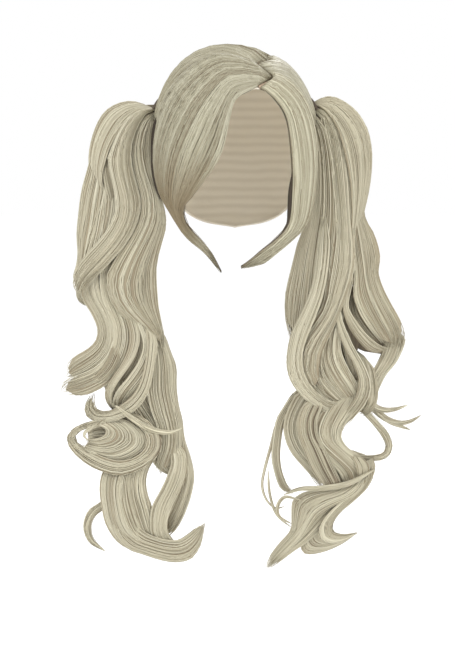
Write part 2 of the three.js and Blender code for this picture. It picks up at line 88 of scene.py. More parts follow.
# %% Camera
MM = 0.001
AIM = Vector((-7.9, 0, -294)) * MM
DISTANCE = 1.9
CAMERA_ELEVATION = math.radians(5.5)
camera_data = bpy.data.cameras.new("camera")
camera_data.lens = 97.5
camera_data.sensor_width = 36
camera = bpy.data.objects.new("camera", camera_data)
camera.location = AIM + DISTANCE * Vector((0, -math.cos(CAMERA_ELEVATION), math.sin(CAMERA_ELEVATION)))
camera.rotation_euler = (math.pi / 2 - CAMERA_ELEVATION, 0, 0)
bpy.context.scene.collection.objects.link(camera)
bpy.context.scene.camera = camera
print("Camera at", [round(value, 3) for value in camera.location])

# %% From a place in the photograph to a place in space
PHOTO_SIZE = (455, 668)


def photo_point(column_row, forward):
    """Points in mm seen at (column, row) of the photograph, on upright planes y = -forward."""
    seen = np.asarray(column_row, float)
    reach = camera_data.sensor_width / camera_data.lens / PHOTO_SIZE[1]
    right = (seen[..., 0] - PHOTO_SIZE[0] / 2) * reach
    up = (PHOTO_SIZE[1] / 2 - seen[..., 1]) * reach
    sine, cosine = math.sin(CAMERA_ELEVATION), math.cos(CAMERA_ELEVATION)
    ray = np.stack([right, cosine + up * sine, up * cosine - sine], -1)
    eye = np.array(camera.location) / MM
    length = (-np.asarray(forward) - eye[1]) / ray[..., 1]
    return eye + ray * length[..., None]


# %% [markdown]
# ## The head form
#
# All the hair lies on or hangs round one head form, a rounded box between an ellipsoid and a brick. Every
# place on it is a direction (azimuth from the middle of the face, elevation from the widest level) and a
# height above it, so a comb stroke is just a curve of directions. Sizes are in millimetres and become
# metres when a mesh is made.

# %% Measures of the wig
HEAD_WIDTH = 148
HEAD_LENGTH = 190
CROWN_HEIGHT = 105
DRAPE_REACH = 220
FORM_POWER = 2.4
FORM_CENTRE = np.array([0, 2, -CROWN_HEIGHT])
CAP_THICKNESS = 1.5
TIE_AZIMUTH = 94
TIE_ELEVATION = 30
TIE_STAND_OFF = 13
ROOT_RADIUS = 10
TIE_THICKNESS = 5
TAIL_LENGTH = 475
TAIL_WIDTH = 100
TAIL_DEPTH_SHARE = 0.78
TAIL_FORWARD = 16

random = np.random.default_rng(11)

# %% Smooth curves through tables


def through(places, values, at):
    """Smooth curve through the values at their places, read at every number in at."""
    places = np.asarray(places, float)
    values = np.asarray(values, float)
    at = np.asarray(at, float)
    after = np.minimum(np.arange(len(places)) + 1, len(places) - 1)
    before = np.maximum(np.arange(len(places)) - 1, 0)
    runs = (places[after] - places[before]).reshape((-1,) + (1,) * (values.ndim - 1))
    slopes = (values[after] - values[before]) / runs
    row = np.clip(np.searchsorted(places, at, side="right") - 1, 0, len(places) - 2)
    span = places[row + 1] - places[row]
    u = np.clip((at - places[row]) / span, 0, 1)

    def pick(table, rows):
        if table.ndim < 3:
            return table[rows]
        return np.take_along_axis(table, rows[None, ..., None], axis=0)[0]

    if values.ndim > 1:
        u = u[..., None]
        span = span[..., None]
    return (
        (2 * u**3 - 3 * u**2 + 1) * pick(values, row)
        + (u**3 - 2 * u**2 + u) * span * pick(slopes, row)
        + (3 * u**2 - 2 * u**3) * pick(values, row + 1)
        + (u**3 - u**2) * span * pick(slopes, row + 1)
    )


def column(rows, key, at):
    return through([row["at"] for row in rows], [row[key] for row in rows], at)


def eased(low, high, at):
    u = np.clip((np.asarray(at) - low) / (high - low), 0, 1)
    return u * u * (3 - 2 * u)


# %% Places on the head form


def direction(azimuth, elevation):
    a = np.radians(azimuth)
    e = np.radians(elevation)
    return np.stack([np.cos(e) * np.sin(a), -np.cos(e) * np.cos(a), np.sin(e) + 0 * a], -1)


def on_form(way, offset, lower_reach=CROWN_HEIGHT):
    """Point in each direction at a height above the head form."""
    height = np.where(way[..., 2] < 0, lower_reach, CROWN_HEIGHT) + offset
    total = (
        np.abs(way[..., 0] / (HEAD_WIDTH / 2 + offset)) ** FORM_POWER
        + np.abs(way[..., 1] / (HEAD_LENGTH / 2 + offset)) ** FORM_POWER
        + np.abs(way[..., 2] / height) ** FORM_POWER
    )
    return way * (total ** (-1 / FORM_POWER))[..., None] + FORM_CENTRE


def between(start, end, share):
    """Direction a share of the way from one to the other."""
    share = np.asarray(share)[..., None]
    angle = np.arccos(np.clip((start * end).sum(-1, keepdims=True), -1, 1)) + 1e-9
    return (np.sin((1 - share) * angle) * start + np.sin(share * angle) * end) / np.sin(angle)


def unit(vectors):
    return vectors / np.maximum(np.linalg.norm(vectors, axis=-1, keepdims=True), 1e-12)


# %% [markdown]
# ## The finish of the hair
#
# Up close a lock is streaked: neighbouring hairs differ a little in tone, and the streaks run along the hair,
# never across it. So the pattern reads a map that each hair mesh carries, with millimetres across the hair
# as u and the share of its length as v. The roots by the tie are painted browner, as shade where the hair is
# gathered, and some hair also gets a painted brown band of shade lower down. One node group makes the colour
# and the height of the streaks with this painted shade, and each material feeds it to its own shader.

# %% Colours
ASH_SHADE = (0.17, 0.13, 0.075, 1)
ASH_MIDDLE = (0.37, 0.342, 0.243, 1)
ASH_LIGHT = (0.55, 0.525, 0.40, 1)
# painted shade: the roots by the tie are browner, standing in for the shade where the hair is gathered
ROOT_PAINTED_SHADE = (0.27, 0.215, 0.14, 1)
# painted shade: a brown band part way down the fringe, which fades again towards the tip
LOW_PAINTED_SHADE = (0.195, 0.14, 0.068, 1)
LOW_LENGTH = 0.3
LOW_END = (0.36, 0.5)  # beyond the start of the brown part, where it fades again
LOW_STRENGTH = 0.8
LOW_LOSS = 0.55  # what that strength has lost where it has faded
SKIN_TINT = (0.60, 0.46, 0.33, 1)
NET_TINT = (0.86, 0.79, 0.66, 1)
TIE_TINT = (0.16, 0.125, 0.09, 1)

# %% A node group for streaked hair


def hair_group():
    """Node group that gives the colour of streaked hair, with painted shade at the roots and lower down, and
    the height of its streaks.
    """
    tree = bpy.data.node_groups.new("streaked_hair", "ShaderNodeTree")
    for name, kind, value in (
        ("Shade", "NodeSocketColor", ASH_SHADE),
        ("Middle", "NodeSocketColor", ASH_MIDDLE),
        ("Light", "NodeSocketColor", ASH_LIGHT),
        ("Root", "NodeSocketColor", ROOT_PAINTED_SHADE),
        ("Root length", "NodeSocketFloat", 0.12),
        ("Low", "NodeSocketColor", LOW_PAINTED_SHADE),
        ("Low start", "NodeSocketFloat", 2.0),
    ):
        tree.interface.new_socket(name, in_out="INPUT", socket_type=kind).default_value = value
    tree.interface.new_socket("Color", in_out="OUTPUT", socket_type="NodeSocketColor")
    tree.interface.new_socket("Height", in_out="OUTPUT", socket_type="NodeSocketFloat")
    add, link = tree.nodes.new, tree.links.new
    source = add("NodeGroupInput")
    result = add("NodeGroupOutput")

    place = add("ShaderNodeUVMap")
    place.uv_map = "strand_map"
    tint = add("ShaderNodeAttribute")
    tint.attribute_name = "tint"
    parts = add("ShaderNodeSeparateXYZ")
    link(place.outputs["UV"], parts.inputs[0])

    def streaks(across, along, detail):
        """Noise stretched along the hair, with so many changes a millimetre across it."""
        scaled = add("ShaderNodeCombineXYZ")
        for axis, factor in (("X", across), ("Y", along)):
            times = add("ShaderNodeMath")
            times.operation = "MULTIPLY"
            times.inputs[1].default_value = factor
            link(parts.outputs[axis], times.inputs[0])
            link(times.outputs[0], scaled.inputs[axis])
        depth = add("ShaderNodeMath")
        depth.operation = "MULTIPLY"
        depth.inputs[1].default_value = 37
        link(tint.outputs["Fac"], depth.inputs[0])
        link(depth.outputs[0], scaled.inputs["Z"])
        noise = add("ShaderNodeTexNoise")
        noise.inputs["Scale"].default_value = 1
        noise.inputs["Detail"].default_value = detail
        link(scaled.outputs[0], noise.inputs["Vector"])
        return noise.outputs["Fac"]

    fine = streaks(0.9, 5, 2)
    broad = streaks(0.25, 3, 1)
    both = add("ShaderNodeMath")
    both.operation = "MULTIPLY_ADD"
    both.inputs[1].default_value = 0.55
    link(fine, both.inputs[0])
    part = add("ShaderNodeMath")
    part.operation = "MULTIPLY"
    part.inputs[1].default_value = 0.45
    link(broad, part.inputs[0])
    link(part.outputs[0], both.inputs[2])

    toned = add("ShaderNodeMath")  # each hair's own tone moves it up or down the scale
    toned.operation = "MULTIPLY_ADD"
    toned.inputs[1].default_value = 0.5
    link(tint.outputs["Fac"], toned.inputs[0])
    link(both.outputs[0], toned.inputs[2])
    spread = add("ShaderNodeMapRange")
    spread.inputs["From Min"].default_value = 0.42
    spread.inputs["From Max"].default_value = 1.04
    link(toned.outputs[0], spread.inputs["Value"])

    def mixed(factor, first, second):
        mix = add("ShaderNodeMix")
        mix.data_type = "RGBA"
        link(factor, mix.inputs["Factor"])
        link(first, mix.inputs["A"])
        link(second, mix.inputs["B"])
        return mix.outputs["Result"]

    def ranged(value, low, high):
        limits = add("ShaderNodeMapRange")
        limits.interpolation_type = "SMOOTHSTEP"
        limits.inputs["From Min"].default_value = low
        limits.inputs["From Max"].default_value = high
        link(value, limits.inputs["Value"])
        return limits.outputs["Result"]

    tone = spread.outputs["Result"]
    dark = mixed(ranged(tone, 0, 0.5), source.outputs["Shade"], source.outputs["Middle"])
    body = mixed(ranged(tone, 0.5, 1), dark, source.outputs["Light"])
    # painted shade: browner towards the roots by the tie, over Root length
    rooted = add("ShaderNodeMapRange")
    rooted.interpolation_type = "SMOOTHSTEP"
    rooted.inputs["To Min"].default_value = 0.6
    rooted.inputs["To Max"].default_value = 0
    link(parts.outputs["Y"], rooted.inputs["Value"])
    link(source.outputs["Root length"], rooted.inputs["From Max"])
    # painted shade: a brown band from Low start on, fading again after LOW_END
    below = add("ShaderNodeMath")
    below.operation = "SUBTRACT"
    link(parts.outputs["Y"], below.inputs[0])
    link(source.outputs["Low start"], below.inputs[1])
    lowered = add("ShaderNodeMath")
    lowered.operation = "MULTIPLY"
    lowered.inputs[1].default_value = LOW_STRENGTH
    link(ranged(below.outputs[0], 0, LOW_LENGTH), lowered.inputs[0])
    fading = add("ShaderNodeMath")
    fading.operation = "MULTIPLY_ADD"
    fading.inputs[1].default_value = -LOW_LOSS
    link(ranged(below.outputs[0], *LOW_END), fading.inputs[0])
    link(lowered.outputs[0], fading.inputs[2])
    body = mixed(fading.outputs[0], body, source.outputs["Low"])
    link(mixed(rooted.outputs["Result"], body, source.outputs["Root"]), result.inputs["Color"])
    link(fine, result.inputs["Height"])
    return tree


streaked_hair = hair_group()
print("Node group", streaked_hair.name, "with", len(streaked_hair.nodes), "nodes")

# %% A material for each kind of hair


def hair_material(name, roughness, bump, **inputs):
    """Hair with a satin sheen. Bump is the depth of the streaks in metres."""
    material = bpy.data.materials.new(name)
    material.use_nodes = True
    tree = material.node_tree
    shader = tree.nodes["Principled BSDF"]
    shader.inputs["Roughness"].default_value = roughness
    shader.inputs["Specular IOR Level"].default_value = 0.45
    group = tree.nodes.new("ShaderNodeGroup")
    group.node_tree = streaked_hair
    for key, value in inputs.items():
        group.inputs[key.replace("_", " ")].default_value = value
    tree.links.new(group.outputs["Color"], shader.inputs["Base Color"])
    if bump:
        relief = tree.nodes.new("ShaderNodeBump")
        relief.inputs["Distance"].default_value = bump
        relief.inputs["Strength"].default_value = 0.8
        tree.links.new(group.outputs["Height"], relief.inputs["Height"])
        tree.links.new(relief.outputs["Normal"], shader.inputs["Normal"])
    return material


sheet_finish = hair_material("combed_sheet_hair", 0.5, 0.0008, Root_length=0.02)
# painted shade: a little darker than the hairs laid on it, so that the gaps between the hairs read as shade
painted_shade_under_finish = hair_material(
    "under_hair_painted_shade", 0.5, 0.0006, Shade=(0.30, 0.25, 0.165, 1), Middle=(0.45, 0.405, 0.285, 1),
    Light=(0.62, 0.58, 0.43, 1), Root_length=0.05
)
strand_finish = hair_material("single_hairs", 0.42, 0, Root_length=0.02)
# painted shade: the fringe is browner part way down, from Low start on
fringe_finish = hair_material("fringe_hairs", 0.42, 0, Root_length=0.02, Low_start=0.42)
side_finish = hair_material(
    "side_lock_hairs", 0.42, 0, Shade=(0.20, 0.155, 0.09, 1), Middle=(0.41, 0.378, 0.266, 1),
    Light=(0.64, 0.607, 0.452, 1), Root_length=0.02
)
lock_finish = hair_material(
    "lock_hair", 0.5, 0.0008, Shade=(0.27, 0.23, 0.15, 1), Middle=(0.54, 0.50, 0.36, 1),
    Light=(0.72, 0.68, 0.51, 1), Root_length=0.10
)
tail_strand_finish = hair_material(
    "tail_hairs", 0.42, 0, Shade=(0.32, 0.265, 0.175, 1), Middle=(0.505, 0.462, 0.335, 1),
    Light=(0.66, 0.622, 0.475, 1), Root_length=0.05
)
# painted shade: dark brown hair for the insides of the tails and the deep sheets, where the hair lies in
# shadow
painted_shade_inner_finish = hair_material(
    "inner_hair_painted_shade", 0.6, 0.0008, Shade=(0.16, 0.125, 0.08, 1), Middle=(0.31, 0.26, 0.175, 1),
    Light=(0.44, 0.385, 0.27, 1), Root_length=0.02
)
# painted shade: near-black hair for the side of the loose locks towards the face and for the gap between each
# tail and the head, where deep shade falls
painted_shade_finish = hair_material(
    "painted_shade_hair", 0.7, 0.0008, Shade=(0.035, 0.025, 0.015, 1), Middle=(0.075, 0.055, 0.035, 1),
    Light=(0.13, 0.10, 0.065, 1), Root_length=0.02
)
print("Hair materials:", len(bpy.data.materials))

# %% [markdown]
# ## Tools for closed forms
#
# Two ways of making a form come back for many pieces. A loft draws a ring on by extrusion, ring after ring,
# and fills its two ends. A slab lays two grids over each other and bridges their edges, so that a sheet of
# hair has a wall and no open rim.

# %% Loft and slab


def finished(bm, name, material, smooth=True):
    """Mesh object of a bmesh, with its faces pointing out."""
    bmesh.ops.recalc_face_normals(bm, faces=bm.faces)
    for face in bm.faces:
        face.smooth = smooth
    mesh = bpy.data.meshes.new(name)
    bm.to_mesh(mesh)
    bm.free()
    mesh.materials.append(material)
    piece = bpy.data.objects.new(name, mesh)
    bpy.context.scene.collection.objects.link(piece)
    return piece


def add_loft(bm, rings):
    """Draws a skin through rings of points in mm and closes its ends."""
    sides = len(rings[0])
    ring = bmesh.ops.create_circle(bm, segments=sides, radius=1)["verts"]
    edges = list({edge for vert in ring for edge in vert.link_edges})
    ends = [edges]
    for vert, point in zip(ring, rings[0]):
        vert.co = Vector(point) * MM
    for points in rings[1:]:
        made = bmesh.ops.extrude_edge_only(bm, edges=edges)["geom"]
        fresh = {item for item in made if isinstance(item, bmesh.types.BMVert)}
        edges = [item for item in made if isinstance(item, bmesh.types.BMEdge)]
        ring = [
            next(edge.other_vert(vert) for edge in vert.link_edges if edge.other_vert(vert) in fresh)
            for vert in ring
        ]
        for vert, point in zip(ring, points):
            vert.co = Vector(point) * MM
        edges = [edge for edge in edges if all(vert in fresh for vert in edge.verts)]
    ends.append(edges)
    for loop in ends:
        bmesh.ops.contextual_create(bm, geom=loop)


def add_slab(bm, outer, inner, across, along, width):
    """Closes two grids of points, given as functions of (at, share), into one wall. Width is for the map."""
    maps = bm.loops.layers.uv.get("strand_map") or bm.loops.layers.uv.new("strand_map")
    rims = []
    for surface in (outer, inner):
        grid = bmesh.ops.create_grid(bm, x_segments=across, y_segments=along, size=0.5)["verts"]
        share = np.array([vert.co.x + 0.5 for vert in grid])
        at = np.array([vert.co.y + 0.5 for vert in grid])
        faces = {face for vert in grid for face in vert.link_faces}
        where = {vert: (u, v) for vert, u, v in zip(grid, share, at)}
        for face in faces:
            for loop in face.loops:
                u, v = where[loop.vert]
                loop[maps].uv = (u * width, v)
        for vert, point in zip(grid, surface(at, share)):
            vert.co = Vector(point) * MM
        rims.append({edge for face in faces for edge in face.edges if edge.is_boundary})
    bmesh.ops.bridge_loops(bm, edges=list(rims[0] | rims[1]))


# %% [markdown]
# ## The net cap
#
# The cap is a thin dome of net with the wefts sewn on in rows, and a rolled hem. The hair hides it from
# outside, but it shows from below and past the fringe. One loft makes it: its rings run down the outside,
# round the hem and up the inside, so that the net has a wall. Its holes and the rows of wefts are only
# relief.

# %% The rim of the cap
CAP_RIM = [
    {"at": 0, "elevation": 36},
    {"at": 20, "elevation": 37},
    {"at": 38, "elevation": 25},
    {"at": 52, "elevation": 9},
    {"at": 64, "elevation": -2},
    {"at": 78, "elevation": 5},
    {"at": 92, "elevation": 7},
    {"at": 112, "elevation": -14},
    {"at": 138, "elevation": -38},
    {"at": 180, "elevation": -47},
]
CAP_TURNS = 96
CAP_STEPS = 22
HEM = 1.2


def cap_ring(step, offset):
    azimuth = 360 * np.arange(CAP_TURNS) / CAP_TURNS
    rim = column(CAP_RIM, "elevation", np.minimum(azimuth, 360 - azimuth))
    return on_form(direction(azimuth, 88 + (rim - 88) * step / CAP_STEPS), offset)


# %% Net with wefts


def net_material():
    material = bpy.data.materials.new("sewn_net")
    material.use_nodes = True
    tree = material.node_tree
    shader = tree.nodes["Principled BSDF"]
    shader.inputs["Roughness"].default_value = 0.85
    add, link = tree.nodes.new, tree.links.new
    place = add("ShaderNodeTexCoord")
    weave = []
    for scale, bands, wobble in ((700, "DIAGONAL", 4), (33, "Z", 1.2)):
        wave = add("ShaderNodeTexWave")
        wave.bands_direction = bands
        wave.inputs["Scale"].default_value = scale
        wave.inputs["Distortion"].default_value = wobble
        wave.inputs["Detail"].default_value = 1
        link(place.outputs["Object"], wave.inputs["Vector"])
        weave.append(wave.outputs["Fac"])
    both = add("ShaderNodeMath")
    both.operation = "MULTIPLY_ADD"
    both.inputs[1].default_value = 0.35
    link(weave[0], both.inputs[0])
    link(weave[1], both.inputs[2])
    ramp = add("ShaderNodeValToRGB")
    ramp.color_ramp.elements[0].position = 0.1
    ramp.color_ramp.elements[0].color = (0.76, 0.69, 0.56, 1)
    ramp.color_ramp.elements[1].position = 1
    ramp.color_ramp.elements[1].color = NET_TINT
    link(both.outputs[0], ramp.inputs["Fac"])
    link(ramp.outputs["Color"], shader.inputs["Base Color"])
    relief = add("ShaderNodeBump")
    relief.inputs["Distance"].default_value = 0.0002
    link(both.outputs[0], relief.inputs["Height"])
    link(relief.outputs["Normal"], shader.inputs["Normal"])
    return material


# %% Cap
rings = [cap_ring(step, CAP_THICKNESS) for step in range(CAP_STEPS + 1)]
rings += [cap_ring(CAP_STEPS + 0.12, CAP_THICKNESS / 2 + HEM), cap_ring(CAP_STEPS + 0.25, CAP_THICKNESS / 2)]
rings += [cap_ring(CAP_STEPS + 0.12, CAP_THICKNESS / 2 - HEM)]
rings += [cap_ring(step, 0) for step in reversed(range(CAP_STEPS + 1))]
bm = bmesh.new()
add_loft(bm, rings)
cap = finished(bm, "cap_net", net_material())
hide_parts("wig_cap")
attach(cap, "root")
print("Cap faces:", len(cap.data.polygons))

# %% [markdown]
# ## The parting
#
# A zigzag parting looks casual. A skin-coloured strip lies in it, so that it reads as scalp and not as net.
# It is a narrow slab along the zigzag, faintly mottled, and the combed hair starts from its two edges.

# %% The line of the parting
PARTING = [
    {"at": 0, "azimuth": 16, "elevation": 37.8, "half": 1.5},
    {"at": 0.1, "azimuth": 21, "elevation": 40, "half": 0.9},
    {"at": 0.24, "azimuth": 29, "elevation": 44, "half": 0.45},
    {"at": 0.5, "azimuth": 20, "elevation": 53.5, "half": 0.45},
    {"at": 0.7, "azimuth": 37, "elevation": 57.5, "half": 0.45},
    {"at": 0.84, "azimuth": 50, "elevation": 66, "half": 0.45},
    {"at": 1, "azimuth": 118, "elevation": 70, "half": 0.45},
]
STRIP_END = 0.8


def parting_point(place):
    """Place 0 is at the hairline, 1 over the crown and 2 at the nape."""
    at = np.minimum(place, 1)
    front = direction(column(PARTING, "azimuth", at), column(PARTING, "elevation", at))
    nape = np.broadcast_to(direction(180.0, -45.0), front.shape)
    return on_form(between(front, nape, np.maximum(place - 1, 0)), 0)


def parting_way(place, side, inset=0):
    """Way out to an edge of the parting, side -1 or 1, set in towards its middle."""
    place = np.asarray(place, float)
    point = parting_point(place)
    along = parting_point(place + 0.03) - parting_point(np.maximum(place - 0.03, 0))
    across = unit(np.cross(along, unit(point - FORM_CENTRE)))
    reach = np.asarray(side * (column(PARTING, "half", np.minimum(place, 1)) - inset))
    return unit(point + across * reach[..., None] - FORM_CENTRE)


# %% Skin-coloured strip


def skin_material():
    material = bpy.data.materials.new("parting_skin")
    material.use_nodes = True
    tree = material.node_tree
    shader = tree.nodes["Principled BSDF"]
    shader.inputs["Roughness"].default_value = 0.7
    place = tree.nodes.new("ShaderNodeTexCoord")
    noise = tree.nodes.new("ShaderNodeTexNoise")
    noise.inputs["Scale"].default_value = 700
    noise.inputs["Detail"].default_value = 3
    ramp = tree.nodes.new("ShaderNodeValToRGB")
    ramp.color_ramp.elements[0].color = (0.42, 0.31, 0.22, 1)
    ramp.color_ramp.elements[0].position = 0.35
    ramp.color_ramp.elements[1].color = SKIN_TINT
    ramp.color_ramp.elements[1].position = 0.6
    relief = tree.nodes.new("ShaderNodeBump")
    relief.inputs["Distance"].default_value = 0.0003
    link = tree.links.new
    link(place.outputs["Object"], noise.inputs["Vector"])
    link(noise.outputs["Fac"], ramp.inputs["Fac"])
    link(ramp.outputs["Color"], shader.inputs["Base Color"])
    link(noise.outputs["Fac"], relief.inputs["Height"])
    link(relief.outputs["Normal"], shader.inputs["Normal"])
    return material


def strip_surface(offset):
    def surface(at, share):
        right = parting_way(STRIP_END * at, -1, -0.6)
        left = parting_way(STRIP_END * at, 1, -0.6)
        crown = 0.25 * np.sin(np.pi * share) * (offset > CAP_THICKNESS)
        return on_form(between(right, left, share), offset + crown)

    return surface


bm = bmesh.new()
add_slab(bm, strip_surface(CAP_THICKNESS + 1), strip_surface(CAP_THICKNESS + 0.2), 4, 48, 4)
strip = finished(bm, "parting_skin_strip", skin_material())
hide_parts("parting_strip")
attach(strip, "root")
print("Strip faces:", len(strip.data.polygons))

# %% [markdown]
# ## Many hairs in one mesh
#
# A wisp of hair is a thin closed tube, and the wig has thousands of them. Each would be quick to make with
# an operator, but thousands of calls are slow, so all the hairs of a piece are worked out at once as
# arrays: a middle line, and the two half axes of the section along it. The same tool makes fine hairs of
# three sides and whole locks of eight or ten. It also lays the hairs side by side in a second map, so that
# an export has room to bake each one.

# %% Joined hairs
BAKE_COLUMNS = 160


def hair_mesh(name, middle, wide, thin, sides, along, tint, material):
    """One object of closed hairs. Middle, wide and thin are (hairs, stations, 3) in mm."""
    hairs, stations = middle.shape[:2]
    run = np.gradient(middle, axis=1)
    turned = (np.cross(wide, thin) * run).sum((1, 2)) < 0
    thin = np.where(turned[:, None, None], -thin, thin)
    turn = 2 * np.pi * np.arange(sides) / sides
    ring = middle[:, :, None] + wide[:, :, None] * np.cos(turn)[:, None]
    ring = ring + thin[:, :, None] * np.sin(turn)[:, None]
    points = ring.reshape(-1, 3) * MM

    base = (np.arange(hairs)[:, None] * stations + np.arange(stations - 1)[None]) * sides
    side = np.arange(sides)
    a = base[..., None] + side
    b = base[..., None] + (side + 1) % sides
    quads = np.stack([a, b, b + sides, a + sides], -1).reshape(-1)
    start = np.arange(hairs)[:, None] * stations * sides
    caps = np.concatenate([start + side[::-1], start + (stations - 1) * sides + side], 1).reshape(-1)
    quad_count = hairs * (stations - 1) * sides
    corners = np.concatenate([quads, caps])
    starts = np.concatenate([np.arange(quad_count) * 4, quad_count * 4 + np.arange(2 * hairs) * sides])

    mesh = bpy.data.meshes.new(name)
    mesh.vertices.add(len(points))
    mesh.vertices.foreach_set("co", points.ravel())
    mesh.loops.add(len(corners))
    mesh.loops.foreach_set("vertex_index", corners.astype(np.int32))
    mesh.polygons.add(len(starts))
    mesh.polygons.foreach_set("loop_start", starts.astype(np.int32))
    mesh.update(calc_edges=True)
    mesh.polygons.foreach_set("use_smooth", np.ones(len(starts), bool))

    girth = 4 * np.linalg.norm(wide, axis=-1).max(1)
    origin = random.uniform(0, 400, hairs)
    across = np.stack([side, side + 1, side + 1, side], -1) / sides
    u = origin[:, None, None, None] + girth[:, None, None, None] * across
    u = np.broadcast_to(u, (hairs, stations - 1, sides, 4))
    v = np.stack([along[:, :-1], along[:, :-1], along[:, 1:], along[:, 1:]], -1)[:, :, None]
    v = np.broadcast_to(v, (hairs, stations - 1, sides, 4))
    cap_u = np.repeat(origin, 2 * sides)
    cap_v = np.stack([along[:, 0], along[:, -1]], -1).repeat(sides, 1).ravel()
    for name_of_map, us, vs in (
        ("strand_map", (u.ravel(), cap_u), (v.ravel(), cap_v)),
        ("OFBake", *bake_places(hairs, stations, sides, across)),
    ):
        layer = mesh.uv_layers.new(name=name_of_map)
        layer.uv.foreach_set("vector", np.stack([np.concatenate(us), np.concatenate(vs)], -1).ravel())
    mesh.uv_layers.active = mesh.uv_layers["strand_map"]
    mesh.attributes.new("tint", "FLOAT", "POINT").data.foreach_set(
        "value", np.repeat(tint, stations * sides).astype(np.float32)
    )
    mesh.materials.append(material)
    piece = bpy.data.objects.new(name, mesh)
    bpy.context.scene.collection.objects.link(piece)
    return piece


def bake_places(hairs, stations, sides, across):
    """Lays the hairs out in columns and rows of the unit square, each standing upright."""
    columns = min(BAKE_COLUMNS, hairs)
    rows = math.ceil(hairs / columns)
    column_of = (np.arange(hairs) % columns)[:, None, None, None]
    row_of = (np.arange(hairs) // columns)[:, None, None, None]
    u = (column_of + 0.08 + 0.84 * across) / columns
    step = np.arange(stations - 1)[:, None, None]
    upright = np.array([0, 0, 1, 1])
    v = (row_of + 0.02 + 0.96 * (step + upright) / (stations - 1)) / rows
    shape = (hairs, stations - 1, sides, 4)
    u = np.broadcast_to(u, shape)
    v = np.broadcast_to(v, shape)
    cap_u = np.arange(hairs)[:, None] % columns + 0.08 + 0.84 * np.tile(np.arange(sides), 2) / sides
    cap_u = cap_u / columns
    low_high = np.repeat([0.02, 0.98], sides)
    cap_v = (np.arange(hairs)[:, None] // columns + low_high) / rows
    return (u.ravel(), cap_u.ravel()), (v.ravel(), cap_v.ravel())


def clumped(place, spacing):
    """Tones from 0 to 1 for hairs at places in mm across a sheet. Neighbours share much of theirs."""
    place = np.ravel(place)
    count = max(int(np.ptp(place) / spacing), 3)
    shared = np.interp(place, np.linspace(place.min(), place.max(), count), random.uniform(0, 1, count))
    return np.clip(0.06 + 0.56 * shared + random.uniform(-0.16, 0.46, len(place)), 0, 1)


def tapered(at, rise=0.04, fall=0.25, least=0.12):
    """Share of a hair's full width along it, thin at its start and tapering to its end."""
    start = eased(0, rise, at) * 0.5 + 0.5
    end = np.sqrt(np.clip((1 - at) / fall, 0, 1))
    return np.maximum(np.minimum(start, end), least)


# %% [markdown]
# ## Combed hair on the cap
#
# From the parting the hair is drawn tight over the head to each tie, and fans out from the long parting to
# the narrow bundle. Four sheets do this, two from the front of the parting and two from its back. Each is a
# wall with fine ribs along the hair, from a grid laid on the head form, with loose hairs on top so that its
# light breaks up as hair does.

# %% Seams between the combed sheets
SEAMS = {
    "right": {
        "hairline": [(0.3, -12, 40), (0.6, -42, 28), (0.85, -68, 14), (1, -86, 23)],
        "top": [(0.3, -161, 76), (0.6, -113, 60), (0.85, -102, 43), (1, -98, 35)],
        "nape": [(0.3, -158, -43), (0.6, -134, -33), (0.85, -110, -4), (1, -100, 22)],
    },
    "left": {
        "hairline": [(0.3, 34, 29), (0.6, 52, 16), (0.85, 71, 13), (1, 86, 23)],
        "top": [(0.3, 113, 62), (0.6, 107, 53), (0.85, 101, 42), (1, 98, 35)],
        "nape": [(0.3, 158, -43), (0.6, 134, -33), (0.85, 110, -4), (1, 100, 22)],
    },
}
COMBED_THICKNESS = [
    {"at": 0, "thick": 1.5},
    {"at": 0.04, "thick": 2.5},
    {"at": 0.12, "thick": 3.9},
    {"at": 0.3, "thick": 5.4},
    {"at": 0.6, "thick": 8},
    {"at": 0.85, "thick": 10},
    {"at": 1, "thick": 11},
]


def combed_way(side, near, far, place):
    """Direction at a share of the way from the parting to the tie, between a near and a far seam."""

    def way(at, share):
        at, share = np.broadcast_arrays(np.asarray(at, float), np.asarray(share, float))
        rows = [parting_way(place + share, side)]
        for (_, *low), (_, *high) in zip(near, far):
            ends = [np.broadcast_to(direction(*map(float, edge)), share.shape + (3,)) for edge in (low, high)]
            rows.append(between(*ends, share))
        return unit(through([0] + [row[0] for row in near], np.stack(rows), at))

    return way


def sheet_height(at, share):
    """Height of a combed sheet's surface above the head form."""
    round_edges = 0.4 + 0.6 * np.sin(np.pi * np.clip(share, 0, 1)) ** 0.5
    return (CAP_THICKNESS + column(COMBED_THICKNESS, "thick", at)) * round_edges


# %% Base sheets
RIB_COUNT = 22
RIB_DEPTH = 0.22
COMBED_WIDTH = 170


def ribs(at, share, seed):
    """Uneven ridges that run along the hair and wander a little across it."""
    across = share * RIB_COUNT + 0.8 * np.sin(5 * at + seed)
    return np.sin(2 * np.pi * across) * 0.6 + np.sin(2 * np.pi * (0.37 * across + seed)) * 0.9


def combed_sheet(name, way, seed, width):
    def outer(at, share):
        height = sheet_height(at, share) - 0.6 + RIB_DEPTH * ribs(at, share, seed) * eased(0, 0.1, at)
        return on_form(way(at, share), height)

    def inner(at, share):
        return on_form(way(at, share), CAP_THICKNESS + 0.3 + 0 * at)

    bm = bmesh.new()
    add_slab(bm, outer, inner, 96, 22, width)
    sheet = finished(bm, name, sheet_finish)
    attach(sheet, "root")
    return sheet


combed = {}
for side_name, side in (("right", -1), ("left", 1)):
    seams = SEAMS[side_name]
    combed[f"crown_{side_name}"] = combed_way(side, seams["hairline"], seams["top"], 0)
    combed[f"back_{side_name}"] = combed_way(side, seams["top"], seams["nape"], 1)
for number, (name, way) in enumerate(combed.items()):
    sheet = combed_sheet(f"{name}_base", way, number, COMBED_WIDTH)
    place, side_name = name.split("_")
    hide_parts(f"{place}_hair_{side_name}")
print("Combed sheets:", ", ".join(combed))

# %% Hairs on the combed sheets
COMBED_HAIRS = {"crown_right": 1150, "crown_left": 640, "back_right": 480, "back_left": 480}
COMBED_STATIONS = 12


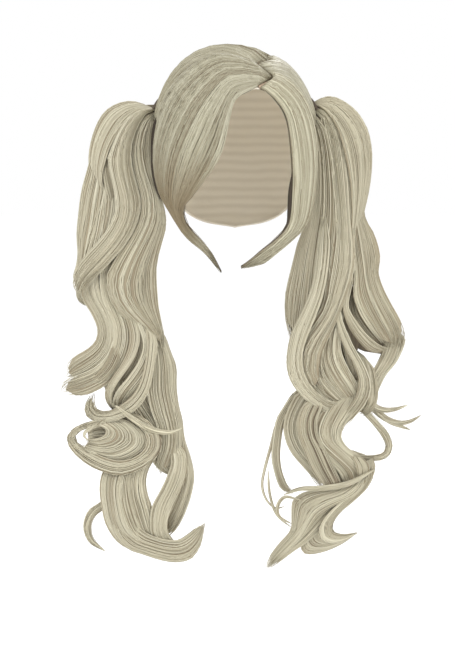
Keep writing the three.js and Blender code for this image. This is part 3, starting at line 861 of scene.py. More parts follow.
def laid_hairs(way, height, count, stations, radius, wander):
    """Middle lines and half axes of hairs that lie on a sheet, and each one's place along it."""
    share = np.sort(random.uniform(0.004, 0.996, count))[:, None]
    first = np.maximum(random.uniform(-0.03, 0.02, count), 0)[:, None]
    last = random.uniform(0.96, 1, count)[:, None]
    at = first + (last - first) * np.linspace(0, 1, stations)
    phase = random.uniform(0, 6.3, count)[:, None]
    drift = wander * np.sin(random.uniform(3, 7, count)[:, None] * at + phase) * np.sin(np.pi * at)
    share = np.clip(share + drift, 0.002, 0.998)
    lift = random.uniform(-0.1, 0.7, count)[:, None] + 0.1 * np.sin(5 * at + phase)
    directions = way(at, share)
    middle = on_form(directions, height(at, share) + lift)
    run = unit(np.gradient(middle, axis=1))
    wide = unit(np.cross(run, directions))
    size = radius * random.uniform(0.7, 1.3, count)[:, None] * tapered(np.linspace(0, 1, stations)[None])
    wide = wide * size[..., None] * 1.5
    return middle, wide, directions * size[..., None], at, clumped(share[:, 0] * COMBED_WIDTH, 2.4)


for name, way in combed.items():
    middle, wide, thin, at, tint = laid_hairs(
        way, sheet_height, COMBED_HAIRS[name], COMBED_STATIONS, 0.36, 0.006
    )
    hairs = hair_mesh(f"{name}_hairs", middle, wide, thin, 3, at, tint, strand_finish)
    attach(hairs, "root")
    print(hairs.name, len(hairs.data.polygons), "faces")

# %% [markdown]
# ## Fringe and side lock
#
# The fringe is swept from the front of the parting over the forehead to the wearer's right, narrows beside
# the cheek and trails round under the chin. The side lock does the same on the left. They hang free of the
# head, so each is a slab between two edges that a table gives station by station, with hairs laid on both
# its faces.

# %% Edges of the loose front hair
LOOSE_HAIR = {
    "fringe": [
        (0, 15, 36.5, 19, 50, 2.6, 0.6),
        (0.08, 9, 34, 2, 58, 3.6, 4),
        (0.18, 0, 29, -22, 57, 6.4, 5.6),
        (0.3, -4, 16, -45, 40, 8.5, 6),
        (0.42, -7, 3, -60, 20, 9, 5.4),
        (0.55, -13, -9, -71, -5, 8, 6),
        (0.66, -25, -23, -65, -22, 4, 7),
        (0.74, -34, -31, -49, -33, 1, 6),
        (0.8, -34, -38.5, -41, -40, -2, 5),
        (0.85, -27.5, -43, -36, -44, -4, 4.4),
        (0.9, -21.5, -47.5, -29, -48.5, -8, 3.8),
        (0.95, -16, -52.5, -21.5, -53, -12, 3),
        (1, -11, -60, -13, -60.5, -17, 1.6),
    ],
    "side_lock": [
        (0, 19, 37, 27, 49, 2.6, 0.6),
        (0.1, 25, 30, 38, 45, 4, 4.6),
        (0.22, 30, 20, 52, 33, 7, 6),
        (0.36, 32, 6, 64, 14, 8.5, 5.4),
        (0.5, 34, -10, 71, -8, 8, 5.4),
        (0.64, 35.5, -23, 71, -26, 5, 6),
        (0.72, 36, -32.5, 68, -34, 3, 6.5),
        (0.79, 35, -38.4, 57, -40.5, 1, 6.5),
        (0.84, 30.7, -42.8, 41, -45.3, -2, 6),
        (0.88, 23, -46.9, 30.5, -49.5, -5, 5),
        (0.93, 14, -51, 22, -55.5, -10, 4),
        (1, 4, -57.5, 5.5, -60, -17, 1.6),
    ],
}
LOOSE_COLUMNS = ("at", "near_az", "near_el", "far_az", "far_el", "stand", "thick")
LOOSE_HAIRS = {"fringe": 640, "side_lock": 400}
LOOSE_STATIONS = 19
# painted shade: how far the near-black inner side of a loose lock is pushed out past its edge, from
# SHADOW_FROM over SHADOW_RUN along it
LOOSE_PAINTED_SHADE = {"fringe": 0, "side_lock": 0.09}  # how far the shaded inner side shows beside the face
SHADOW_FROM = 0.5
SHADOW_RUN = 0.36
LOOSE_ROOTS = {"fringe": (-1, 0.44), "side_lock": (1, 0.3)}  # side of the parting, and the reach along it


def loose_sheet(table, side, reach):
    """Functions for the direction, the outer height and the inner height of a loose sheet."""
    rows = [dict(zip(LOOSE_COLUMNS, row)) for row in table]

    def way(at, share):
        near = direction(column(rows, "near_az", at), column(rows, "near_el", at))
        far = direction(column(rows, "far_az", at), column(rows, "far_el", at))
        hanging = between(near, far, 0.5 + (share - 0.5) * (1 - 0.7 * eased(0.85, 1, at)))
        rooted = parting_way(reach * np.clip(share, 0, 1), side)
        return between(rooted, hanging, eased(-0.04, 0.16, at))

    def outer(at, share):
        round_edges = 0.4 + 0.6 * np.sin(np.pi * np.clip(share, 0, 1)) ** 0.5
        return column(rows, "stand", at) + column(rows, "thick", at) * round_edges

    def inner(at, share):
        return column(rows, "stand", at) + 0 * share

    return way, outer, inner


# %% Fringe and side lock
LOOSE_GRID = (60, 40)
for number, (name, table) in enumerate(LOOSE_HAIR.items()):
    way, outer, inner = loose_sheet(table, *LOOSE_ROOTS[name])

    def surface(height, sign):
        def placed(at, share):
            depth = RIB_DEPTH * ribs(at, share, number + 7) * sign * eased(0, 0.1, at)
            # painted shade: the inner side bulges past the edge, so that its near-black colour shows beside
            # the face
            if sign < 0:
                bulge = np.sin(np.pi * np.clip((at - SHADOW_FROM) / SHADOW_RUN, 0, 1))
                share = share - LOOSE_PAINTED_SHADE[name] * (1 - share) * bulge
            return on_form(way(at, share), height(at, share) - 0.6 * sign + depth, DRAPE_REACH)

        return placed

    bm = bmesh.new()
    add_slab(bm, surface(outer, 1), surface(inner, -1), *LOOSE_GRID, 90)
    base = finished(bm, f"{name}_base", sheet_finish)
    # painted shade: the face of the sheet towards the head and its wall get the near-black shaded hair
    base.data.materials.append(painted_shade_finish)  # the side to the face lies in shadow
    for face in base.data.polygons[LOOSE_GRID[0] * LOOSE_GRID[1] :]:
        face.material_index = 1
    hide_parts(name)
    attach(base, "root")
    count = LOOSE_HAIRS[name]

    share = random.uniform(0.0, 1.0, count)[:, None]
    last = random.uniform(0.80, 1.0, count)[:, None]
    at = random.uniform(0, 0.02, count)[:, None] + last * np.linspace(0, 0.98, LOOSE_STATIONS)
    phase = random.uniform(0, 6.3, count)[:, None]
    drift = 0.015 * np.sin(4 * at + phase) * np.sin(np.pi * at)
    spread = np.clip(share + drift, -0.01, 1.01)
    faces_out = (random.uniform(0, 1, count) < 0.94)[:, None]
    height = np.where(faces_out, outer(at, spread) + 0.2, inner(at, spread) - 0.2)
    directions = way(at, spread)
    middle = on_form(directions, height + random.uniform(-0.2, 0.6, count)[:, None], DRAPE_REACH)
    run = unit(np.gradient(middle, axis=1))
    size = 0.36 * random.uniform(0.7, 1.3, count)[:, None] * tapered(np.linspace(0, 1, LOOSE_STATIONS)[None])
    wide = unit(np.cross(run, directions)) * size[..., None] * 1.5
    tint = clumped(share * 70, 2)
    finish = fringe_finish if name == "fringe" else side_finish
    hairs = hair_mesh(f"{name}_hairs", middle, wide, directions * size[..., None], 3, at, tint, finish)
    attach(hairs, "root")
    print(name, len(base.data.polygons), "and", len(hairs.data.polygons), "faces")

# %% [markdown]
# ## Hair ties
#
# Each tail is gathered by a plain elastic, which the first turns of hair nearly hide. A circle is spun
# round the bundle, and its finish is a tight spiral of threads.

# %% Where the tails leave the head


def root_of(side):
    """Middle of a hair tie, and the direction in which it points away from the head."""
    way = direction(float(side * TIE_AZIMUTH), float(TIE_ELEVATION))
    middle = on_form(way, TIE_STAND_OFF)
    return middle, unit(middle - on_form(way, 0))


def elastic_material():
    material = bpy.data.materials.new("elastic_cord")
    material.use_nodes = True
    tree = material.node_tree
    shader = tree.nodes["Principled BSDF"]
    shader.inputs["Roughness"].default_value = 0.75
    place = tree.nodes.new("ShaderNodeTexCoord")
    wave = tree.nodes.new("ShaderNodeTexWave")
    wave.bands_direction = "DIAGONAL"
    wave.inputs["Scale"].default_value = 500
    wave.inputs["Distortion"].default_value = 2
    ramp = tree.nodes.new("ShaderNodeValToRGB")
    ramp.color_ramp.elements[0].color = (0.07, 0.05, 0.035, 1)
    ramp.color_ramp.elements[1].color = TIE_TINT
    relief = tree.nodes.new("ShaderNodeBump")
    relief.inputs["Distance"].default_value = 0.0004
    link = tree.links.new
    link(place.outputs["Object"], wave.inputs["Vector"])
    link(wave.outputs["Fac"], ramp.inputs["Fac"])
    link(ramp.outputs["Color"], shader.inputs["Base Color"])
    link(wave.outputs["Fac"], relief.inputs["Height"])
    link(relief.outputs["Normal"], shader.inputs["Normal"])
    return material


# %% Hair ties
elastic_finish = elastic_material()
for side_name, side in (("right", -1), ("left", 1)):
    middle, out = root_of(side)
    tube = TIE_THICKNESS * 0.4
    axis = Vector(out)
    sideways = Vector((0, 1, 0))
    sideways = (sideways - axis * sideways.dot(axis)).normalized()
    bm = bmesh.new()
    circle = bmesh.ops.create_circle(bm, segments=16, radius=tube * MM)["verts"]
    centre = Vector(middle) * MM + sideways * (ROOT_RADIUS - 3 + tube) * MM
    for vert in circle:
        vert.co = centre + sideways * vert.co.x + axis * vert.co.y
    bmesh.ops.spin(
        bm, geom=list(bm.edges), cent=Vector(middle) * MM, axis=axis,
        angle=2 * math.pi, steps=48, use_merge=True
    )
    bmesh.ops.remove_doubles(bm, verts=bm.verts, dist=1e-6)
    tie = finished(bm, f"elastic_{side_name}", elastic_finish)
    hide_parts(f"hair_tie_{side_name}")
    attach(tie, "root")
    print(tie.name, len(tie.data.polygons), "faces")

# %% [markdown]
# ## The tails
#
# Each tail swells out of its tie, hangs in long waves and breaks up into curls that flick outwards. Its
# outline is a table of sections from the tie down: how far it has dropped, how far its middle stands out
# from the tie and half its width, as shares of the tail's length and nominal width. The inner locks follow
# that outline. The hair over them is drawn over the photograph instead.

# %% Sections of the tails
TAILS = {
    "right": {
        "side": -1,
        "phase": 20,
        "sections": [
            (0, 0, 0.1), (0.005, 0.14, 0.13), (0.033, 0.27, 0.24), (0.07, 0.34, 0.29), (0.18, 0.39, 0.37),
            (0.265, 0.33, 0.48), (0.415, 0.42, 0.46), (0.485, 0.32, 0.39), (0.54, 0.24, 0.41),
            (0.605, 0.26, 0.53), (0.67, 0.17, 0.46), (0.735, 0.28, 0.6), (0.8, 0.12, 0.51),
            (0.88, 0.07, 0.46), (0.94, 0.04, 0.38), (0.98, 0, 0.2),
        ],
    },
    "left": {
        "side": 1,
        "phase": 75,
        "sections": [
            (0, 0, 0.1), (0.005, 0.14, 0.125), (0.033, 0.25, 0.21), (0.07, 0.3, 0.25), (0.18, 0.32, 0.28),
            (0.235, 0.23, 0.29), (0.29, 0.25, 0.37), (0.41, 0.27, 0.52), (0.48, 0.36, 0.6), (0.54, 0.36, 0.56),
            (0.61, 0.24, 0.48), (0.69, 0.12, 0.42), (0.77, 0.2, 0.46), (0.83, 0.16, 0.41), (0.89, 0.1, 0.31),
            (0.93, 0, 0.27), (0.97, -0.14, 0.18),
        ],
    },
}


def tail_frame(tail):
    """Function that gives a tail's middle line, its two section directions and its half width and depth."""
    side = tail["side"]
    middle = root_of(side)[0]
    drop, out, half = np.array(tail["sections"]).T * [[TAIL_LENGTH], [TAIL_WIDTH], [TAIL_WIDTH]]
    half[0] = ROOT_RADIUS
    along = np.concatenate([[0], np.cumsum(np.hypot(np.diff(out), np.diff(drop)))])
    places = along / along[-1]

    def point(at):
        x = middle[0] + side * through(places, out, at)
        y = middle[1] - TAIL_FORWARD * at
        return np.stack([x, y + 0 * x, middle[2] - through(places, drop, at)], -1)

    def frame_at(at):
        here = point(at)
        step = 0.01 + 0.06 * at
        tangent = unit(point(np.minimum(at + step, 1)) - point(np.maximum(at - step, 0)))
        back = unit(np.array([0, 1, 0]) - tangent * tangent[..., 1:2])
        outward = -side * np.cross(back, tangent)
        width = through(places, half, at)
        depth = width * (1 - (1 - TAIL_DEPTH_SHARE) * np.minimum(at / 0.125, 1))
        return here, outward, back, width, depth

    return frame_at


def in_tail(frame_at, at, angle, share):
    """Point of a tail at an angle round it and a share of the way to its outline."""
    here, outward, back, width, depth = frame_at(at)
    angle = np.radians(angle)
    reach = (share * width * np.cos(angle))[..., None] * outward
    return here + reach + (share * depth * np.sin(angle))[..., None] * back


# %% [markdown]
# The inside of a real tail is hair too, but in shadow, so these locks are painted dark brown as shade. They
# come first: they keep their place round the tail, sway a little, and show wherever the outer hair parts.
# They end where the tail opens into separate curls.

# %% Inner locks of the tails
INNER_STATIONS = 30
INNER_SHELLS = [  # how many locks, how far out they lie, and their half width against the tail's
    {"count": 13, "share": 0.5, "half": 0.17},
    {"count": 6, "share": 0.24, "half": 0.17},
]
INNER_FLATNESS = 0.3
INNER_END = 0.5
INNER_SPREAD = 0.08
BUNDLE_SHARE = 0.45  # of their full spread and width, at the tie


def inner_locks(frame_at, phase):
    """Middle lines, half axes and places along the tail of the locks that fill it."""
    counts = [shell["count"] for shell in INNER_SHELLS]
    turn = [(np.arange(count) + 0.5 * shell) * 360 / count for shell, count in enumerate(counts)]
    turn = np.concatenate(turn)
    home = np.repeat([shell["share"] for shell in INNER_SHELLS], counts)[:, None]
    size = np.repeat([shell["half"] for shell in INNER_SHELLS], counts)[:, None]
    own = random.uniform(0, 6.3, (len(turn), 1))
    along = np.linspace(0, 1, INNER_STATIONS)[None]
    at = along * (INNER_END - random.uniform(0, INNER_SPREAD, (len(turn), 1)))
    loose = np.minimum(at / 0.25, 1)
    angle = turn[:, None] + phase + 12 * loose * np.sin(2 * np.pi * 2.3 * at + own) + 60 * at
    bundle = BUNDLE_SHARE + (1 - BUNDLE_SHARE) * eased(0, 0.1, at)
    swell = 1 + 0.1 * loose * np.sin(2 * np.pi * 1.9 * at + own)
    middle = in_tail(frame_at, at, angle, home * bundle * swell)
    here, _, _, width, _ = frame_at(at)
    middle[..., 1] = here[..., 1] + INNER_FLATNESS * (middle[..., 1] - here[..., 1])
    run = unit(np.gradient(middle, axis=1))
    radial = unit(middle - here)
    radial = unit(radial - run * (radial * run).sum(-1, keepdims=True))
    half = np.maximum(size * bundle * width * np.sqrt(np.clip((1 - along) / 0.3, 0.004, 1)), 0.5)
    return middle, np.cross(run, radial) * half[..., None], radial * half[..., None] * 0.45, at


for side_name, tail in TAILS.items():
    middle, wide, thin, at = inner_locks(tail_frame(tail), tail["phase"])
    tint = random.uniform(0, 1, len(middle))
    inside = hair_mesh(f"inner_locks_{side_name}", middle, wide, thin, 10, at, tint, painted_shade_inner_finish)
    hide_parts(f"pigtail_{side_name}")
    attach(inside, "root")
    print(inside.name, len(inside.data.polygons), "faces")

# %% [markdown]
# ## Waved sheets of hair
#
# Brushed hair doesn't hang as ropes. From the tie it fans out in smooth sheets, whose hairs run side by
# side through the same waves and part only where a curl turns over. Each sheet is drawn over the photograph
# as two or three guide lines. Every guide has its own distance in front of the ties, and the hairs take
# their places between the guides. A sheet marked True gets a second one behind, so that the tail has hair
# on its back. The wall under the hairs is painted a little darker than they are, as shade between them.
# Darker sheets lie deeper and are painted shade: shadow in the hollows of the waves, filling where sheets
# part, and the darkest, near-black hair between each tail and the head.

# %% Guide lines: distances in front of the ties in mm, and the places that the line passes through
WAVED_SHEETS = {
    "right": [
        (True, [
            ((0, 3, 4, 4, 6), [(157, 110), (148, 106.5), (138, 102.5), (128, 101.5), (115, 105), (104, 113),
             (96, 127), (91, 143), (89, 158), (90, 172), (94, 184), (99, 194)]),
            ((5, 15, 20, 20, 16), [(159, 108), (148, 108.5), (136, 112), (124, 123), (115, 138), (109, 150),
             (105, 162), (102, 175), (103, 187), (107, 198)]),
        ]),
        (True, [
            ((4, 8, 8, 2), [(95, 140), (88, 168), (82, 190), (79, 212), (77, 235), (78, 252), (77, 263),
             (73, 278), (75, 291)]),
            ((14, 19, 20, 6), [(109, 172), (107, 184), (106, 198), (104, 215), (100, 235), (94, 252),
             (88, 266), (84, 280), (83, 293)]),
            ((15, 21, 22, 8), [(124, 174), (123, 186), (121, 200), (119, 215), (113, 235), (106, 252),
             (99, 268), (94, 284), (92, 298)]),
        ]),
        (False, [
            ((6, 20, 26, 28, 27, 20), [(159, 108), (142, 109), (131, 115), (121, 128), (114, 143),
             (108, 158), (111, 173), (114, 187), (116, 200), (115, 214), (108, 229), (98, 242), (84, 257),
             (75, 270), (72, 284), (77, 296)]),
            ((7, 26, 33, 35, 32, 22), [(160, 109), (145, 110), (136, 117), (127, 130), (121, 146),
             (119, 162), (121, 178), (125, 193), (127, 208), (124, 222), (116, 237), (105, 251), (92, 265),
             (81, 278), (77, 289), (81, 299)]),
            ((7, 24, 30, 31, 28, 22), [(160, 110), (147, 114), (140, 122), (134, 136), (131, 150),
             (132, 166), (136, 182), (140, 198), (140, 212), (135, 228), (127, 242), (115, 257), (102, 271),
             (91, 283), (85, 293), (87, 303)]),
        ]),
        (True, [
            ((7, 20, 27, 29, 27, 28, 30), [(160, 110), (146, 113), (138, 124), (132, 138), (130, 152),
             (131, 168), (135, 184), (139, 199), (139, 214), (134, 229), (125, 244), (115, 260), (107, 277),
             (109, 296), (118, 312), (132, 324), (146, 333), (153, 345)]),
            ((7, 22, 31, 34, 33, 34, 34), [(161, 111), (151, 117), (145, 130), (142, 145), (143, 160),
             (147, 176), (152, 191), (154, 206), (153, 220), (147, 236), (139, 252), (132, 268), (128, 284),
             (131, 300), (140, 314), (151, 327), (159, 340), (161, 352)]),
            ((6, 14, 22, 24, 22, 24, 24), [(162, 111), (157, 121), (155, 135), (155, 150), (155, 166),
             (157, 182), (161, 197), (165, 211), (166, 226), (162, 242), (158, 257), (156, 272), (157, 288),
             (158, 304), (161, 320), (164, 334), (165, 348), (164, 358)]),
        ]),
        (True, [
            ((12, 15, 18, 16, 10), [(76, 262), (78, 280), (83, 299), (92, 314), (98, 329), (96, 341),
             (88, 349), (76, 356), (67, 364), (66, 374)]),
            ((18, 23, 26, 22, 14), [(100, 256), (98, 276), (101, 296), (109, 312), (114, 327), (114, 342),
             (109, 356), (99, 368), (84, 377), (67, 380)]),
        ]),
        (True, [
            ((18, 24, 27, 24, 12), [(104, 254), (100, 278), (103, 300), (110, 316), (114, 331), (112, 346),
             (104, 360), (91, 370), (76, 376), (63, 381), (60, 388)]),
            ((18, 25, 28, 24, 12), [(124, 258), (116, 284), (120, 302), (127, 318), (131, 334), (129, 350),
             (122, 366), (110, 382), (94, 392), (76, 398), (62, 397)]),
        ]),
        (False, [
            ((24, 30, 32, 28, 8), [(116, 296), (124, 316), (129, 332), (128, 348), (121, 364), (111, 379),
             (105, 391), (106, 402), (114, 415)]),
            ((26, 32, 35, 31, 10), [(130, 304), (137, 322), (140, 338), (136, 354), (128, 368), (118, 382),
             (112, 394), (113, 404), (121, 413)]),
        ]),
        (False, [
            ((28, 34, 36, 32, 12), [(130, 310), (140, 330), (143, 346), (138, 362), (128, 377), (118, 390),
             (113, 402), (119, 415)]),
            ((28, 35, 38, 34, 14), [(144, 316), (154, 336), (157, 350), (153, 366), (144, 381), (133, 394),
             (126, 404), (127, 414)]),
        ]),
        (False, [
            ((30, 38, 40, 38, 32, 18, 12), [(154, 326), (158, 340), (156, 354), (154, 368), (151, 383),
             (145, 399), (133, 412), (118, 420), (101, 422), (88, 418), (84, 407), (90, 392)]),
            ((30, 38, 41, 40, 34, 20, 14), [(140, 322), (146, 334), (147, 348), (145, 364), (141, 380),
             (134, 394), (124, 403), (112, 410), (101, 411), (96, 408), (95, 403), (97, 393)]),
        ]),
        (True, [
            ((24, 28, 28, 26, 22, 20), [(142, 326), (148, 352), (148, 370), (147, 390), (151, 410),
             (158, 430), (158, 450), (148, 472)]),
            ((22, 26, 26, 24, 20, 18), [(156, 328), (164, 352), (167, 370), (168, 390), (172, 410),
             (176, 430), (175, 450), (166, 475)]),
            ((14, 16, 18, 16, 14, 12), [(163, 326), (170, 350), (176, 366), (176, 384), (178, 402),
             (182, 420), (184, 440), (187, 456), (190, 476)]),
        ]),
        (False, [
            ((16, 18, 18, 16), [(142, 432), (148, 452), (158, 468), (170, 476)]),
            ((16, 18, 18, 16), [(170, 428), (174, 446), (178, 462), (181, 478)]),
        ]),
        (True, [
            ((16, 20, 20, 18), [(100, 372), (108, 396), (118, 412), (130, 424), (140, 438), (136, 454)]),
            ((20, 22, 22, 18), [(158, 366), (154, 396), (161, 412), (168, 428), (172, 444), (166, 462)]),
        ]),
        (True, [
            ((26, 32, 32, 30, 24, 14, 8, 8), [(126, 408), (142, 416), (153, 426), (161, 438), (160, 452),
             (147, 465), (122, 475), (101, 471), (84, 462), (70, 448), (67, 437), (74, 428), (90, 421),
             (104, 418)]),
            ((26, 32, 32, 30, 24, 16, 10, 10), [(116, 414), (130, 421), (140, 428), (146, 437), (145, 447),
             (136, 456), (121, 460), (106, 457), (91, 450), (79, 444), (75, 437), (81, 431), (93, 427),
             (104, 424)]),
        ]),
        (True, [
            ((26, 30, 28, 24, 20, 18), [(116, 415), (131, 423), (143, 433), (146, 444), (137, 454),
             (121, 461), (104, 459), (90, 454), (77, 448)]),
            ((26, 30, 28, 24, 20, 18), [(108, 417), (119, 424), (127, 432), (128, 441), (119, 448),
             (107, 451), (95, 449), (82, 445)]),
            ((26, 30, 28, 24, 20, 18), [(93, 424), (101, 426), (106, 430), (105, 435), (99, 438), (93, 439),
             (86, 438)]),
        ]),
        (False, [
            ((20, 22, 20, 18), [(86, 423), (99, 420), (112, 419), (126, 420)]),
            ((20, 22, 20, 18), [(87, 430), (100, 427), (114, 428), (128, 434)]),
        ]),
        (False, [
            ((14, 17, 18, 16), [(86, 424), (100, 419), (116, 421), (134, 426), (146, 432)]),
            ((14, 17, 18, 16), [(88, 436), (101, 435), (116, 436), (132, 438), (146, 440)]),
            ((14, 17, 18, 16), [(88, 447), (102, 452), (116, 454), (132, 450), (146, 446)]),
        ]),
        (True, [
            ((12, 16, 18, 18, 20), [(120, 454), (107, 465), (101, 478), (100, 492), (102, 507), (106, 524),
             (116, 540), (129, 549), (143, 552), (158, 554)]),
            ((20, 25, 27, 26, 24), [(136, 458), (124, 470), (119, 482), (118, 496), (120, 510), (124, 524),
             (132, 536), (143, 544), (154, 548), (166, 550)]),
        ]),
        (True, [
            ((22, 26, 28, 28, 24), [(136, 450), (125, 464), (119, 478), (118, 494), (120, 510), (125, 525),
             (133, 537), (144, 545), (158, 549)]),
            ((16, 20, 22, 24, 24), [(164, 450), (151, 464), (146, 478), (147, 492), (151, 504), (154, 516),
             (156, 528), (162, 539), (172, 546)]),
        ]),
        (True, [
            ((20, 24, 26, 24, 16), [(108, 512), (117, 537), (129, 549), (143, 554), (158, 559), (175, 562),
             (190, 559), (199, 548), (203, 536), (205, 524)]),
            ((22, 28, 30, 26, 16), [(132, 512), (138, 526), (148, 534), (158, 538), (168, 540), (179, 540),
             (189, 534), (197, 528), (203, 524), (205.5, 522)]),
        ]),
        (False, [
            ((18, 22, 25, 27, 26), [(164, 444), (171, 460), (167, 476), (160, 491), (152, 506), (150, 520),
             (151, 534), (158, 546), (170, 553)]),
            ((16, 22, 26, 28, 26), [(182, 440), (187, 458), (186, 476), (180, 492), (173, 506), (168, 520),
             (168, 531), (174, 540), (184, 545)]),
        ]),
        (True, [
            ((10, 14, 18, 18, 18), [(174, 412), (179, 436), (180, 458), (181, 474), (177, 490), (170, 506),
             (163, 520), (158, 536)]),
            ((2, 6, 10, 12, 14), [(182, 412), (184, 438), (191, 460), (194, 478), (191, 496), (185, 513),
             (177, 528), (164, 542)]),
        ]),
    ],
    "left": [
        (True, [
            ((0, 0, 2, 2, 4, 6), [(308, 104), (313, 101), (320, 98), (332, 96.5), (345, 102), (358, 113),
             (367, 129), (371, 149), (371, 166), (369, 188), (366, 204), (362, 220), (358, 236)]),
            ((5, 12, 18, 20, 20, 20), [(309, 105), (321, 103), (333, 106), (344, 116), (353, 130),
             (359, 148), (361, 166), (361, 186), (359, 204), (357, 220), (354, 238), (352, 252)]),
            ((6, 20, 27, 30, 30, 28), [(309, 106), (321, 108), (331, 117), (339, 132), (344, 149),
             (348, 167), (351, 186), (352, 204), (352, 222), (350, 240), (348, 256)]),
        ]),
        (True, [
            ((2, 2, 4, 6, 8, 8), [(366, 190), (364, 212), (367, 222), (373, 232), (378, 246), (380, 259),
             (378, 272), (383, 288), (391, 304), (400, 320), (405, 335), (404, 347)]),
            ((14, 18, 20, 20, 16), [(354, 186), (355, 208), (358, 226), (361, 244), (364, 262), (366, 278),
             (370, 294), (377, 310), (385, 325), (391, 338), (394, 350)]),
            ((18, 24, 26, 26, 18), [(342, 186), (346, 212), (350, 236), (353, 258), (354, 276), (353, 294),
             (358, 311), (367, 326), (377, 339), (386, 352)]),
        ]),
        (True, [
            ((7, 16, 24, 27, 28, 30, 32, 30), [(309, 107), (317, 113), (322, 130), (326, 152), (328, 175),
             (331, 198), (333, 220), (333, 240), (329, 263), (326, 286), (324, 303), (315, 319), (302, 336),
             (296, 350), (292, 364), (294, 378), (301, 390)]),
            ((7, 20, 29, 32, 34, 36, 38, 34), [(309, 107), (322, 111), (333, 128), (338, 150), (341, 175),
             (343, 198), (345, 220), (346, 243), (345, 268), (339, 289), (334, 306), (324, 325), (312, 342),
             (306, 357), (305, 371), (311, 384), (322, 396)]),
            ((6, 18, 26, 29, 31, 34, 37, 34), [(309, 106), (326, 109), (341, 124), (347, 147), (350, 172),
             (351, 198), (352, 222), (355, 243), (354, 270), (348, 291), (342, 308), (335, 325), (326, 343),
             (321, 360), (323, 376), (331, 389), (342, 399)]),
        ]),
        (False, [
            ((28, 32, 34, 36, 37, 34, 28), [(332, 276), (334, 300), (335, 315), (339, 334), (347, 352),
             (355, 366), (359, 380), (357, 394), (349, 407), (338, 420), (331, 434)]),
            ((28, 32, 34, 36, 37, 34, 28), [(342, 274), (340, 298), (341, 315), (347, 332), (355, 349),
             (364, 365), (370, 380), (370, 394), (363, 407), (352, 420), (342, 434)]),
        ]),
        (False, [
            ((28, 31, 32, 29, 22), [(344, 274), (342, 297), (343, 312), (349, 328), (358, 341), (368, 351),
             (383, 355)]),
            ((26, 29, 30, 27, 20), [(356, 272), (351, 292), (349, 307), (356, 320), (367, 334), (379, 344),
             (393, 349)]),
        ]),
        (True, [
            ((5, 9, 11, 12, 12, 10, 8), [(308, 106), (308, 130), (309, 160), (310, 190), (308, 212),
             (304, 228), (298, 243), (294, 259), (290, 275), (286, 292), (285, 308), (286, 322), (289, 336),
             (291, 350)]),
            ((6, 16, 21, 23, 23, 22, 19), [(309, 107), (314, 126), (318, 150), (319, 175), (319, 200),
             (317, 222), (313, 245), (310, 265), (308, 285), (306, 302), (303, 318), (299, 336),
             (297, 352)]),
            ((7, 19, 26, 29, 29, 29, 24), [(310, 108), (322, 120), (330, 146), (334, 172), (336, 200),
             (336, 222), (334, 245), (331, 265), (330, 285), (326, 302), (318, 320), (308, 338)]),
        ]),
        (False, [
            ((24, 28, 31, 35, 37, 37, 33, 27), [(318, 215), (317, 250), (312, 286), (302, 312), (292, 332),
             (288, 349), (287, 366), (291, 381), (301, 395), (316, 407), (330, 415), (341, 417),
             (350, 411)]),
            ((26, 30, 33, 37, 39, 39, 35, 29), [(330, 215), (330, 250), (325, 288), (317, 314), (308, 336),
             (303, 353), (304, 371), (312, 387), (324, 397), (334, 402), (343, 401), (349, 396)]),
        ]),
        (True, [
            ((26, 30, 31, 30, 28), [(324, 308), (309, 344), (304, 362), (307, 378), (317, 392), (331, 402),
             (346, 405)]),
            ((28, 32, 33, 32, 28), [(346, 304), (341, 330), (341, 350), (347, 366), (355, 380), (361, 394),
             (360, 408)]),
        ]),
        (True, [
            ((0, 6, 10, 14, 16), [(404, 330), (405, 342), (397, 361), (386, 375), (379, 389), (375, 402),
             (374, 416)]),
            ((8, 12, 16, 18, 18), [(386, 336), (383, 350), (378, 362), (371, 375), (366, 388), (363, 402),
             (361, 416)]),
        ]),
        (True, [
            ((18, 20, 20, 18), [(344, 340), (350, 362), (354, 380), (356, 394), (350, 410)]),
            ((14, 18, 18, 16), [(372, 362), (376, 376), (378, 390), (376, 404), (366, 418)]),
        ]),
        (False, [
            ((8, 8, 8), [(326, 446), (338, 462), (342, 476), (338, 492)]),
            ((4, 4, 4), [(364, 452), (373, 464), (373, 476), (362, 490)]),
        ]),
        (True, [
            ((20, 22, 22, 20, 18), [(302, 384), (289, 408), (284, 425), (286, 440), (292, 453), (302, 465),
             (312, 477), (318, 492)]),
            ((26, 28, 28, 24, 22), [(330, 394), (316, 413), (311, 428), (314, 440), (323, 451), (335, 461),
             (346, 472), (352, 490)]),
        ]),
        (True, [
            ((28, 32, 32, 30, 22), [(324, 396), (309, 415), (304, 430), (308, 443), (318, 454), (330, 464),
             (340, 475), (344, 490)]),
            ((28, 34, 34, 30, 22), [(346, 398), (335, 417), (330, 431), (333, 442), (342, 451), (352, 460),
             (361, 470), (364, 486)]),
        ]),
        (False, [
            ((28, 34, 35, 33, 30, 24), [(340, 396), (327, 416), (322, 432), (327, 444), (338, 454),
             (350, 464), (358, 476)]),
            ((28, 32, 33, 31, 28, 22), [(368, 390), (357, 410), (345, 425), (341, 437), (348, 448),
             (360, 456), (368, 468)]),
        ]),
        (True, [
            ((12, 14, 12, 10, 10), [(297, 386), (284, 407), (277, 419), (274, 434), (272, 456), (275, 473),
             (281, 489), (291, 495)]),
            ((16, 16, 14, 12, 12), [(305, 392), (292, 409), (284, 424), (281, 440), (280, 458), (283, 474),
             (289, 486), (298, 491)]),
        ]),
        (True, [
            ((20, 22, 18, 14, 10, 8), [(354, 476), (326, 488), (303, 493), (293, 501), (292, 516),
             (291, 530), (279, 544), (270, 556), (265, 566)]),
            ((26, 30, 26, 22, 16, 10), [(372, 474), (355, 495), (335, 505), (320, 514), (311, 525),
             (303, 537), (291, 549), (279, 560), (269, 569)]),
        ]),
        (True, [
            ((22, 26, 24, 20, 15, 10), [(362, 464), (350, 483), (332, 495), (315, 506), (304, 519),
